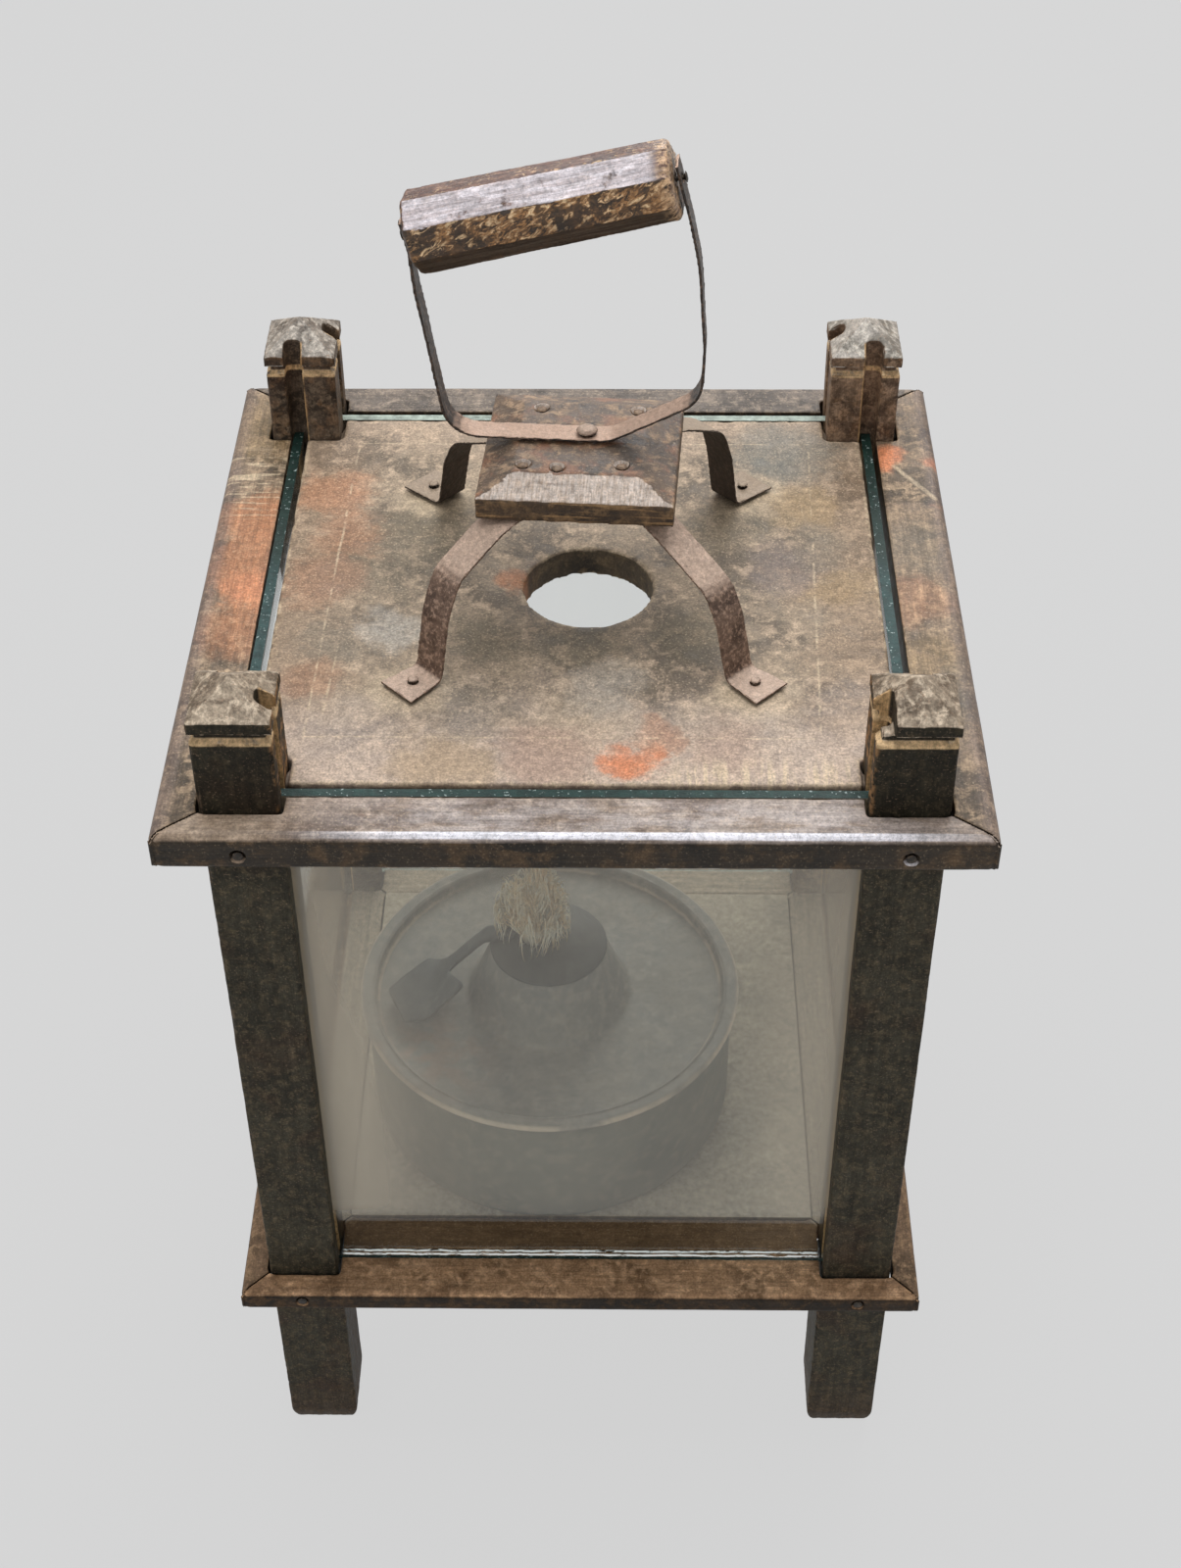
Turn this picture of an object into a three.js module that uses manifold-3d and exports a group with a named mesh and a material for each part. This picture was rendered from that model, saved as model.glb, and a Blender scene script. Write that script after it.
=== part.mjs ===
// Wooden oil lantern. Four corner posts carry a mitred frame near the ground and another
// near the top. Glass panes slide down through the top frame between the posts, a roof
// board with a smoke hole closes the top, and two crossed iron straps hold up a wooden
// block with a turning bail handle. An iron oil lamp with a tow wick stands inside.
// Millimetres, +Z up, X to the right, Y away from the front. The origin is on the ground
// below the centre of the frames.

import * as THREE from 'three';
import { mergeVertices } from 'three/addons/utils/BufferGeometryUtils.js';
import Module from 'manifold-3d';

const wasm = await Module();
wasm.setup();

// Fits
const fitGap = 0.3; // between pieces that bear on each other
const mitreGap = 0.3; // taken off each mitred end

// Corner posts
const postSpacing = 237; // between post centres, both ways
const postSide = 30;
const legSwell = 1; // the leg under the base frame is thicker on its inner sides
const legRound = 3;
const legFoot = 52; // height at which the thicker leg and the post share their middle
const finialShoulder = 31.5; // top frame to the shoulder below the cap
const neckHeight = 3;
const neckInset = 2;
const capOverhang = 0.4;
const capFascia = 5.5;
const capRise = 11;
const lostWidth = 6.2; // cap corner broken off the front right post, beside the glass slot
const lostDepth = 9.2;

// Top frame
const topSideMargin = 16.5; // beyond the posts' outer faces
const topFrontMargin = 13; // the same at the front and back
const topHeight = 383; // ground to its upper face
const topThickness = 16.5;
const topUpperRound = 4.5;
const topLowerRound = 2;

// Base frame and floor board
const baseMargin = 11.5; // beyond the posts' outer faces
const baseHeight = 115;
const baseThickness = 12;
const baseUpperRound = 3.5;
const baseLowerRound = 2.5;
const baseLedge = 17.5; // base rail inside its glass groove
const floorThickness = 5.5;
const floorRest = 6; // lip under the floor board's edge

// Glass
const glassThickness = 4;
const slotPlay = 2; // the slot is wider than the glass by this much
const glassSetback = 12; // post's outer face to the middle of the slot
const grooveDepth = 6; // into the posts
const paneEdgePlay = 0.5;
const paneFootDepth = 3; // into the base rails
const paneTopDrop = 1; // glass edge below the top frame's upper face

// Roof board
const roofThickness = 13.5;
const ventRadius = 25;
const ventX = 3.5;
const ventY = -1;
const tenonLength = 8;
const tenonWidth = 7;
const tenonThickness = 5;

// Iron straps under the block
const handleX = 2.5;
const handleY = 1;
const strapWidth = 14.8;
const strapThickness = 2;
const shoulderBend = 32;
const kneeBend = 13;
const shinBend = 24;
const ankleBend = 3;
const footFlare = 18.4; // width at the end of a foot
const footNailSetback = 9;
const strapReach = 99.5; // from the handle's middle to the end of each foot
// Each leg's line, in from the end of its foot and down from the strap's flat middle part: the
// end of the flat part, the knee, a point on the shin and the ankle on the roof
const frontLeftLeg = { flat: 53.5, knee: 28, kneeDrop: 12.2, shin: 21.9, shinDrop: 27, ankle: 17.1 };
const frontRightLeg = { flat: 62, knee: 29, kneeDrop: 16, shin: 22.9, shinDrop: 27.5, ankle: 17.5 };
const backLeftLeg = { flat: 62, knee: 30.5, kneeDrop: 15, shin: 24.7, shinDrop: 27, ankle: 19.9 };
const backRightLeg = { flat: 53.5, knee: 29.5, kneeDrop: 12.2, shin: 24.1, shinDrop: 27, ankle: 19.9 };

// Handle block
const blockX = 1.4;
const blockY = 0;
const blockYaw = -4; // degrees
const blockWidth = 74;
const blockDepth = 72;
const blockLift = 54.5; // roof to the block's underside
const blockSide = 9.5;
const blockBevelRise = 5;
const blockBevelInset = 12.8;
const blockNailSpots = [
  ['front_left', -20.3, -19.2],
  ['front_middle', -7.6, -20.4],
  ['front_right', 16.1, -17.5],
  ['back_left', -17, 19],
  ['back_right', 20, 19.5],
];

// Bail and grip
const rivetX = 3.3;
const rivetY = 0;
const bailYaw = -4; // degrees
const bailWidth = 11;
const bailThickness = 2;
const gripX = -15.2; // grip's middle, from the rivet
const gripLift = 94.6; // block's upper face to the grip's middle
const gripTilt = 14.6; // degrees, right end up
const gripLength = 97.4;
const gripAcrossLeft = 29.4; // across its flats, at its left end
const gripAcrossRight = 27.4;
const gripChamfer = 1.5;
const gripFlats = 8;
const gripRoll = 7; // degrees that its upper flat leans back
const earAbove = 7; // strap end above the grip's nail
const leftEarBelow = 4; // from the nail to the bend below it
const rightEarBelow = 16;
// Corners of the bail from left to right: to the right of the grip's left end, of the rivet or
// of the grip's right end, then up from the block, and the bend's radius
const leftElbow = [2.3, 61, 60];
const leftHeel = [11.8, 0, 13.5];
const rightToe = [8.8, 0, 14];
const rightHeel = [9.2, 18.7, 13];
const rightShin = [10, 40, 60];
const rightElbow = [7.4, 74, 120];
const leftEarBend = 12;
const rightEarBend = 60;

// Rivet and nails
const rivetRadius = 2.4;
const rivetHeadRadius = 4.6;
const rivetHeadHeight = 2.2;
const nailRadius = 1.3;
const nailHeadRadius = 2.6;
const nailHeadHeight = 1.2;
const nailSides = 8;
const frameNailLength = 24;
const topNailDrop = 10.4; // below the top frame's upper face
const baseNailDrop = 6;
const footNailLength = 12;
const blockNailLength = 18;
const gripNailLength = 22;

// Oil lamp
const lampX = -14.5;
const lampY = -24;
const lampSides = 40;
const fontRadius = 81;
const fontHeight = 63.5;
const fontWall = 1.6;
const fontCorner = 7;
const fontBead = 0.7; // how far the bead below the font's rim stands out
const fontBeadHeight = 3;
const lidEdgeRadius = 2; // rolled edge
const lidOverhang = 1.3; // middle of the rolled edge beyond the font
const lidFlangeFall = 0.6; // towards the rolled edge
const lidSheet = 1.4;
const lidSink = 5; // dish below the flange
const dishCrown = 0.4; // dish higher at the collar than at the flange
const collarBaseRadius = 35;
const collarTopRadius = 25;
const collarRise = 28; // dish to the collar's top
const collarWall = 1.8;
const collarFoot = 2; // flare where the collar meets the dish
const collarNeck = 4; // the collar is steeper this far below its top
const capDome = 6;
const capOverlap = 0.8; // cap beyond the collar
const capSkirt = 5;
const wickRadius = 8;
const wickX = -4;
const wickY = 1;
const wickPlay = 0.3;
const wickFoot = 8; // above the font's bottom
const tuftRadius = 19;
const tuftHeight = 50;
const tuftLean = -3;
const armWidth = 10;
const armThickness = 1.8;
const armAngle = 171; // degrees round the lamp, towards the left
const armInset = 11; // its inner end, in from the collar's top edge
const armSeatLength = 10; // straight stretch on the cap, riveted in its middle
const armSeatEase = 4;
const armRivetLength = 6;
const armBend = 48; // where the arm levels out
const leafLift = 6; // dish to the leaf
// Corners of the leaf: out from the lamp's axis, and sideways towards the front
const leafNeck = [44.6, 6.4];
const leafInner = [31.5, 28];
const leafFront = [57.9, 35.5];
const leafTip = [69.9, 17.3];
const leafBack = [56, -4];

// Places worked out from the sizes
const postAxis = postSpacing / 2;
const postInner = postAxis - postSide / 2;
const postOuter = postAxis + postSide / 2;
const slotWidth = glassThickness + slotPlay;
const slotLine = postOuter - glassSetback;
const slotIn = slotLine - slotWidth / 2;
const slotOut = slotLine + slotWidth / 2;
const topUnderside = topHeight - topThickness;
const baseUnderside = baseHeight - baseThickness;
const shoulderZ = topHeight + finialShoulder;
const apexZ = shoulderZ + neckHeight + capFascia + capRise;
const cutReach = apexZ; // a cutting tool runs this far past the piece, clear of all of it
const paneFootZ = baseHeight - paneFootDepth;
const blockUnderside = topHeight + blockLift;
const blockTop = blockUnderside + blockSide + blockBevelRise;
const upperStrapZ = blockUnderside - fitGap - strapThickness / 2;
const lowerStrapZ = upperStrapZ - strapThickness - fitGap;
const footZ = topHeight + fitGap + strapThickness / 2;
const gripZ = blockTop + gripLift;
const fontZ = baseHeight + fitGap;

const material = (color, roughness, metalness) => (
  new THREE.MeshStandardMaterial({ color, roughness, metalness })
);
const wood = (colour, roughness) => material(colour, roughness, 0);
const iron = (colour, roughness) => material(colour, roughness, 0.6);
const postWood = wood(0x3a2f27, 0.7);
const frameWood = wood(0x5a4535, 0.65);
const boardWood = wood(0x7c6a50, 0.8);
const blockWood = wood(0x6a563f, 0.75);
const gripWood = wood(0x5c3d2c, 0.45);
const strapIron = iron(0x7a6558, 0.75);
const nailIron = iron(0x5b4a40, 0.7);
const lampIron = iron(0x4a4d50, 0.6);
const tow = material(0xb49a73, 1, 0);
const glass = new THREE.MeshStandardMaterial({
  color: 0x9fb8b0,
  roughness: 0.08,
  metalness: 0,
  transparent: true,
  opacity: 0.35,
});

const lantern = new THREE.Group();

// Closed meshes to solids and back

function toSolid(geometry) {
  const bare = geometry.index ? geometry.clone() : geometry;
  bare.deleteAttribute('normal');
  bare.deleteAttribute('uv');
  const merged = mergeVertices(bare, 1e-4);
  const position = merged.getAttribute('position');
  const corners = Array.from({ length: position.count }, (_, i) => (
    new THREE.Vector3().fromBufferAttribute(position, i)
  ));
  const triangles = [];
  let volume = 0;
  const index = merged.getIndex().array;
  for (let i = 0; i < index.length; i += 3) {
    const [a, b, c] = [index[i], index[i + 1], index[i + 2]];
    if (a !== b && b !== c && c !== a) {
      triangles.push([a, b, c]);
      volume += corners[a].dot(corners[b].clone().cross(corners[c]));
    }
  }
  if (volume < 0) triangles.forEach((triangle) => triangle.reverse());
  const vertProperties = new Float32Array(corners.flatMap((point) => point.toArray()));
  return new wasm.Manifold(new wasm.Mesh({
    numProp: 3,
    vertProperties,
    triVerts: new Uint32Array(triangles.flat()),
  }));
}

function toGeometry(solid) {
  const { vertProperties, triVerts } = solid.getMesh();
  const geometry = new THREE.BufferGeometry();
  geometry.setAttribute('position', new THREE.BufferAttribute(vertProperties, 3));
  geometry.setIndex(new THREE.BufferAttribute(triVerts, 1));
  geometry.computeVertexNormals();
  return geometry;
}

const join = (first, ...others) => others.reduce((whole, piece) => whole.add(piece), first);
const cut = (whole, ...tools) => tools.reduce((rest, tool) => rest.subtract(tool), whole);

function addPiece(parent, name, solid, material) {
  const mesh = new THREE.Mesh(toGeometry(solid), material);
  mesh.name = name;
  parent.add(mesh);
  return mesh;
}

// Basic forms

function box([x0, x1], [y0, y1], [z0, z1]) {
  const geometry = new THREE.BoxGeometry(x1 - x0, y1 - y0, z1 - z0);
  geometry.translate((x0 + x1) / 2, (y0 + y1) / 2, (z0 + z1) / 2);
  return toSolid(geometry);
}

// Profile of [radius, height] pairs turned about Z
function turned(profile, sides) {
  const points = profile.map(([radius, height]) => new THREE.Vector2(radius, height));
  return new THREE.LatheGeometry(points, sides).rotateX(Math.PI / 2);
}

// Profile of [half width, height] pairs on a square plan, as a turning with four sides
function squareTurned(profile) {
  const corners = profile.map(([half, height]) => [half * Math.SQRT2, height]);
  return turned(corners, 4).rotateZ(Math.PI / 4);
}

function upright(radius, z0, z1, x = 0, y = 0, sides = nailSides) {
  return toSolid(turned([[0, z0], [radius, z0], [radius, z1], [0, z1]], sides).translate(x, y, 0));
}

function polygon(points) {
  return new THREE.Shape(points.map(([x, y]) => new THREE.Vector2(x, y)));
}

function extruded(shape, depth, curveSegments = 5) {
  return new THREE.ExtrudeGeometry(shape, { depth, curveSegments, bevelEnabled: false });
}

// Plan outline raised from z0 to z1
function plate(shape, z0, z1) {
  return toSolid(extruded(shape, z1 - z0).translate(0, 0, z0));
}

// Outline in the XZ plane, centred on Y
function slab(shape, width) {
  return toSolid(extruded(shape, width).translate(0, 0, -width / 2).rotateX(Math.PI / 2));
}

function turnPoint(x, y, degrees) {
  const angle = THREE.MathUtils.degToRad(degrees);
  return [x * Math.cos(angle) - y * Math.sin(angle), x * Math.sin(angle) + y * Math.cos(angle)];
}

// Corners given as [x, y, bend radius], joined by straight lines and round bends
function bentLine(corners, stepsPerBend) {
  const points = corners.map(([x, y]) => new THREE.Vector2(x, y));
  return points.flatMap((corner, i) => {
    const radius = corners[i][2] ?? 0;
    if (radius === 0) return [corner];
    const back = points[i - 1].clone().sub(corner).normalize();
    const ahead = points[i + 1].clone().sub(corner).normalize();
    const half = Math.acos(back.dot(ahead)) / 2;
    const centre = back.clone().add(ahead).setLength(radius / Math.sin(half)).add(corner);
    const reach = radius / Math.tan(half);
    const start = back.clone().multiplyScalar(reach).add(corner).sub(centre);
    const end = ahead.clone().multiplyScalar(reach).add(corner).sub(centre);
    const turn = Math.atan2(start.cross(end), start.dot(end));
    return Array.from({ length: stepsPerBend + 1 }, (_, k) => (
      start.clone().rotateAround(new THREE.Vector2(), (turn * k) / stepsPerBend).add(centre)
    ));
  });
}

// Flat bar of even thickness along a line, as an outline
function ribbon(line, thickness) {
  const across = (a, b) => new THREE.Vector2(a.y - b.y, b.x - a.x).normalize();
  const edge = (side) => line.map((point, i) => {
    const before = i > 0 ? across(line[i - 1], point) : across(point, line[1]);
    const after = i < line.length - 1 ? across(point, line[i + 1]) : before;
    const middle = before.clone().add(after).normalize();
    return middle.multiplyScalar((side * thickness) / 2 / middle.dot(before)).add(point);
  });
  return new THREE.Shape([...edge(1), ...edge(-1).reverse()]);
}

// Fasteners

// Nail with its head's underside at the origin and its shank down -Z
function nail(length) {
  const point = nailRadius * 0.4;
  const crown = nailHeadRadius * 0.6;
  return toSolid(turned([
    [0, -length],
    [point, -length],
    [nailRadius, -length + 2 * nailRadius],
    [nailRadius, 0],
    [nailHeadRadius, 0],
    [nailHeadRadius, nailHeadHeight * 0.45],
    [crown, nailHeadHeight],
    [0, nailHeadHeight],
  ], nailSides));
}

// Hole for a nail's shank, from above its seat down to its point
function nailHole(length, x, y, seat) {
  return upright(nailRadius + fitGap, seat - length - fitGap, seat + fitGap, x, y);
}

// Nail let in flush from a rail's outer edge: its own recess and shank hole, with the rail's
// outer face at the origin and the shank down -Z
function flushNailHole() {
  const sink = nailHeadHeight + fitGap;
  return toSolid(turned([
    [0, -frameNailLength - fitGap],
    [nailRadius + fitGap, -frameNailLength - fitGap],
    [nailRadius + fitGap, -sink],
    [nailHeadRadius + fitGap, -sink],
    [nailHeadRadius + fitGap, cutReach],
    [0, cutReach],
  ], nailSides));
}

// Frames

const topFrame = {
  name: 'top',
  halfX: postOuter + topSideMargin,
  halfY: postOuter + topFrontMargin,
  z0: topUnderside,
  z1: topHeight,
  inner: slotOut,
  upperRound: topUpperRound,
  lowerRound: topLowerRound,
  lip: 0,
  nailZ: topHeight - topNailDrop,
};

const baseFrame = {
  name: 'base',
  halfX: postOuter + baseMargin,
  halfY: postOuter + baseMargin,
  z0: baseUnderside,
  z1: baseHeight,
  inner: slotIn - baseLedge,
  upperRound: baseUpperRound,
  lowerRound: baseLowerRound,
  lip: floorRest,
  nailZ: baseHeight - baseNailDrop,
};

// The four sides, each turned from the front, with its half length and its reach from the middle
const sides = [
  { name: 'front', turn: 0, half: 'halfX', reach: 'halfY' },
  { name: 'right', turn: 1, half: 'halfY', reach: 'halfX' },
  { name: 'back', turn: 2, half: 'halfX', reach: 'halfY' },
  { name: 'left', turn: 3, half: 'halfY', reach: 'halfX' },
];

// Section across a rail: outwards to the right, up, with its outer edges rounded
function railSection(frame, outer) {
  const { z0, z1, inner, upperRound, lowerRound, lip } = frame;
  const shape = new THREE.Shape();
  shape.moveTo(inner - lip, z0);
  shape.lineTo(outer - lowerRound, z0);
  shape.absarc(outer - lowerRound, z0 + lowerRound, lowerRound, -Math.PI / 2, 0, false);
  shape.lineTo(outer, z1 - upperRound);
  shape.absarc(outer - upperRound, z1 - upperRound, upperRound, 0, Math.PI / 2, false);
  shape.lineTo(inner, z1);
  if (lip > 0) {
    const lipTop = z1 - floorThickness - fitGap;
    shape.lineTo(inner, lipTop);
    shape.lineTo(inner - lip, lipTop);
  }
  return shape;
}

// Rail on the front side: notched round the two posts and mitred outside and inside them
function railSolid(frame, side) {
  const outer = frame[side.reach];
  const half = frame[side.half];
  const section = railSection(frame, outer);
  const bar = extruded(section, 2 * half);
  const outwards = new THREE.Vector3(0, -1, 0);
  const up = new THREE.Vector3(0, 0, 1);
  const along = outwards.clone().cross(up);
  bar.translate(0, 0, -half).applyMatrix4(new THREE.Matrix4().makeBasis(outwards, up, along));
  const notch = postOuter + fitGap;
  const cheek = postInner - fitGap;
  const inside = Math.min(frame.inner - frame.lip, cheek) - postSide;
  const rightEdge = [
    [half - mitreGap, outer],
    [notch - mitreGap, notch],
    [cheek, notch],
    [cheek, cheek + mitreGap],
    [inside, inside + mitreGap],
  ];
  const leftEdge = rightEdge.map(([x, y]) => [-x, y]).reverse();
  const plan = polygon([...rightEdge, ...leftEdge].map(([x, y]) => [x, -y]));
  let rail = toSolid(bar).intersect(plate(plan, frame.z0 - cutReach, frame.z1 + cutReach));
  if (frame.lip > 0) {
    const groove = box([-half, half], [-slotOut, -slotIn], [paneFootZ, frame.z1 + cutReach]);
    rail = rail.subtract(groove);
  }
  return cut(rail, ...frameNailHoles(frame, side));
}

// Holes of the two nails that go through a rail into its posts, with the rail at the front
function frameNailHoles(frame, side) {
  return [-postAxis, postAxis].map((x) => {
    const { vertProperties, triVerts } = flushNailHole().getMesh();
    const hole = new THREE.BufferGeometry();
    hole.setAttribute('position', new THREE.BufferAttribute(vertProperties, 3));
    hole.setIndex(new THREE.BufferAttribute(triVerts, 1));
    hole.rotateX(Math.PI / 2).translate(x, -frame[side.reach], frame.nailZ);
    return toSolid(hole);
  });
}

function buildFrame(frame) {
  for (const side of sides) {
    const sideGroup = new THREE.Group();
    sideGroup.rotation.z = (side.turn * Math.PI) / 2;
    lantern.add(sideGroup);
    addPiece(sideGroup, `${frame.name}_rail_${side.name}`, railSolid(frame, side), frameWood);
    for (const [hand, x] of [['a', -postAxis], ['b', postAxis]]) {
      const nailName = `${frame.name}_nail_${side.name}_${hand}`;
      const mesh = addPiece(sideGroup, nailName, nail(frameNailLength - nailHeadHeight), nailIron);
      mesh.position.set(x, -frame[side.reach] + nailHeadHeight, frame.nailZ);
      mesh.rotation.x = Math.PI / 2;
    }
  }
}

// Posts

// Post for the front left corner about its own axis: its inner sides face +X and +Y
function postSolid() {
  const half = postSide / 2;
  const capHalf = half + capOverhang;
  const neckHalf = half - neckInset;
  const shaft = toSolid(squareTurned([
    [0, legFoot],
    [half, legFoot],
    [half, shoulderZ],
    [neckHalf, shoulderZ],
    [neckHalf, shoulderZ + neckHeight],
    [capHalf, shoulderZ + neckHeight],
    [capHalf, shoulderZ + neckHeight + capFascia],
    [0, apexZ],
  ]));
  const legHalf = half + legSwell / 2;
  const legTop = baseUnderside - fitGap;
  const roundSteps = 4;
  const round = Array.from({ length: roundSteps + 1 }, (_, k) => {
    const angle = (k / roundSteps) * (Math.PI / 2);
    return [legHalf - legRound * (1 - Math.sin(angle)), legRound * (1 - Math.cos(angle))];
  });
  const leg = squareTurned([[0, 0], ...round, [legHalf, legTop], [0, legTop]]);
  return join(shaft, toSolid(leg.translate(legSwell / 2, legSwell / 2, 0)));
}

// What is cut out of each post, in the post's own directions
function postCuts() {
  const half = postSide / 2;
  const past = half + cutReach;
  const line = slotLine - postAxis; // towards the outside
  const grooveHeight = [paneFootZ, apexZ + cutReach];
  const groove = [-line - slotWidth / 2, -line + slotWidth / 2];
  const frontPane = box([half - grooveDepth, past], groove, grooveHeight);
  const sidePane = box(groove, [half - grooveDepth, past], grooveHeight);
  const grow = (size) => size / 2 + fitGap;
  const tenonY = postAxis - (slotIn + postInner) / 2;
  const tenonZ = topHeight - roofThickness / 2;
  const mortise = box(
    [half - tenonLength - fitGap, past],
    [tenonY - grow(tenonWidth), tenonY + grow(tenonWidth)],
    [tenonZ - grow(tenonThickness), tenonZ + grow(tenonThickness)],
  );
  const nails = [topFrame, baseFrame].flatMap((frame) => {
    const tipFrom = (reach) => reach - frameNailLength - fitGap - postAxis;
    const bore = (depth) => turned([
      [0, depth],
      [nailRadius + fitGap, depth],
      [nailRadius + fitGap, past],
      [0, past],
    ], nailSides);
    const fromFront = bore(tipFrom(frame.halfY)).rotateX(Math.PI / 2).translate(0, 0, frame.nailZ);
    const fromSide = bore(tipFrom(frame.halfX)).rotateY(-Math.PI / 2).translate(0, 0, frame.nailZ);
    return [toSolid(fromFront), toSolid(fromSide)];
  });
  return [frontPane, sidePane, mortise, ...nails];
}

// Corner of a cap lost down to its neck, between the front pane's slot and the post's front
function lostCorner() {
  const half = postSide / 2;
  return box(
    [half - lostWidth, half + cutReach],
    [-half - cutReach, -half + lostDepth],
    [shoulderZ + neckHeight, apexZ + cutReach],
  );
}

function buildPosts() {
  const post = cut(postSolid(), ...postCuts());
  const damagedPost = cut(post, lostCorner());
  for (const [name, x, y] of [
    ['front_left', -1, -1],
    ['front_right', 1, -1],
    ['back_left', -1, 1],
    ['back_right', 1, 1],
  ]) {
    const solid = name === 'front_right' ? damagedPost : post;
    const mesh = addPiece(lantern, `post_${name}`, solid, postWood);
    mesh.position.set(x * postAxis, y * postAxis, 0);
    mesh.scale.set(-x, -y, 1);
  }
}

// Boards

// Square plan with a square notch at each corner for the posts
function notchedSquare(half, notch) {
  const corner = [[half, notch], [notch, notch], [notch, half]];
  return polygon([0, 1, 2, 3].flatMap((turn) => corner.map(([x, y]) => turnPoint(x, y, 90 * turn))));
}

// Square board on the rails' lips, clear of the posts
function buildFloor() {
  const half = Math.min(baseFrame.inner, postInner) - fitGap;
  const board = box([-half, half], [-half, half], [baseHeight - floorThickness, baseHeight]);
  addPiece(lantern, 'floor_board', board, boardWood);
}

function buildRoof() {
  const half = slotIn;
  const cheek = postInner - fitGap;
  const board = plate(notchedSquare(half, cheek), topHeight - roofThickness, topHeight);
  const tenonY = (slotIn + postInner) / 2;
  const tenonZ = topHeight - roofThickness / 2;
  const tenons = [-1, 1].map((hand) => box(
    [-postInner - tenonLength, postInner + tenonLength],
    [hand * tenonY - tenonWidth / 2, hand * tenonY + tenonWidth / 2],
    [tenonZ - tenonThickness / 2, tenonZ + tenonThickness / 2],
  ));
  const vent = upright(ventRadius, topUnderside - cutReach, topHeight + cutReach, ventX, ventY, 40);
  const nailSeat = footZ + strapThickness / 2 + fitGap;
  const holes = footNails().map(({ x, y }) => nailHole(footNailLength, x, y, nailSeat));
  addPiece(lantern, 'roof_board', cut(join(board, ...tenons), vent, ...holes), boardWood);
}

// Glass, each pane seated against one side of its slot

function buildPanes() {
  const width = 2 * (postInner + grooveDepth - paneEdgePlay);
  const lean = slotPlay / 2 - fitGap;
  const seats = { front: lean, left: lean, right: -lean, back: -lean };
  for (const side of sides) {
    const sideGroup = new THREE.Group();
    sideGroup.rotation.z = (side.turn * Math.PI) / 2;
    lantern.add(sideGroup);
    const height = topHeight - paneTopDrop - paneFootZ - fitGap;
    const pane = box([-width / 2, width / 2], [-glassThickness / 2, glassThickness / 2], [0, height]);
    const mesh = addPiece(sideGroup, `pane_${side.name}`, pane, glass);
    mesh.position.set(0, -slotLine - seats[side.name], paneFootZ + fitGap);
  }
}

// Straps

const strapSpans = [
  { name: 'strap_upper', turn: 45, z: upperStrapZ, legs: { plus: backRightLeg, minus: frontLeftLeg } },
  { name: 'strap_lower', turn: -45, z: lowerStrapZ, legs: { plus: frontRightLeg, minus: backLeftLeg } },
];

function footNails() {
  return strapSpans.flatMap(({ name, turn }) => [['plus', 1], ['minus', -1]].map(([end, way]) => {
    const [x, y] = turnPoint(way * (strapReach - footNailSetback), 0, turn);
    return { name: `foot_nail_${name.split('_')[1]}_${end}`, x: handleX + x, y: handleY + y };
  }));
}

function blockNails() {
  return blockNailSpots.map(([name, x, y]) => {
    const [turnedX, turnedY] = turnPoint(x, y, blockYaw);
    return { name: `block_nail_${name}`, x: blockX + turnedX, y: blockY + turnedY };
  });
}

// Strap along X over the handle's middle, from foot to foot
function strapSolid({ z, legs, turn }) {
  const line = (way, leg) => [
    [way * (strapReach - leg.flat), z, shoulderBend],
    [way * (strapReach - leg.knee), z - leg.kneeDrop, kneeBend],
    [way * (strapReach - leg.shin), z - leg.shinDrop, shinBend],
    [way * (strapReach - leg.ankle), footZ, ankleBend],
    [way * strapReach, footZ],
  ];
  const corners = [...line(-1, legs.minus).reverse(), ...line(1, legs.plus)];
  const bar = slab(ribbon(bentLine(corners, 4), strapThickness), footFlare);
  const half = strapWidth / 2;
  const flare = footFlare / 2;
  const edge = (way, leg) => [[way * (strapReach - leg.ankle), half], [way * strapReach, flare]];
  const upperEdge = [...edge(-1, legs.minus).reverse(), ...edge(1, legs.plus)];
  const lowerEdge = upperEdge.map(([x, y]) => [x, -y]).reverse();
  const plan = plate(polygon([...upperEdge, ...lowerEdge]), topHeight, blockTop);
  const local = ({ x, y }) => turnPoint(x - handleX, y - handleY, -turn);
  const hole = (radius, spot) => upright(radius, topHeight, blockTop, ...local(spot));
  const nailHoles = [...footNails(), ...blockNails()].map((spot) => hole(nailRadius + fitGap, spot));
  const rivetHole = hole(rivetRadius + fitGap, { x: rivetX, y: rivetY });
  return cut(bar.intersect(plan), ...nailHoles, rivetHole);
}

function buildStraps() {
  for (const span of strapSpans) {
    const mesh = addPiece(lantern, span.name, strapSolid(span), strapIron);
    mesh.position.set(handleX, handleY, 0);
    mesh.rotation.z = THREE.MathUtils.degToRad(span.turn);
  }
  for (const { name, x, y } of footNails()) {
    const mesh = addPiece(lantern, name, nail(footNailLength), nailIron);
    mesh.position.set(x, y, footZ + strapThickness / 2 + fitGap);
  }
}

// Block with its bevelled top, its nails let in flush so that the bail turns over them

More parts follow.
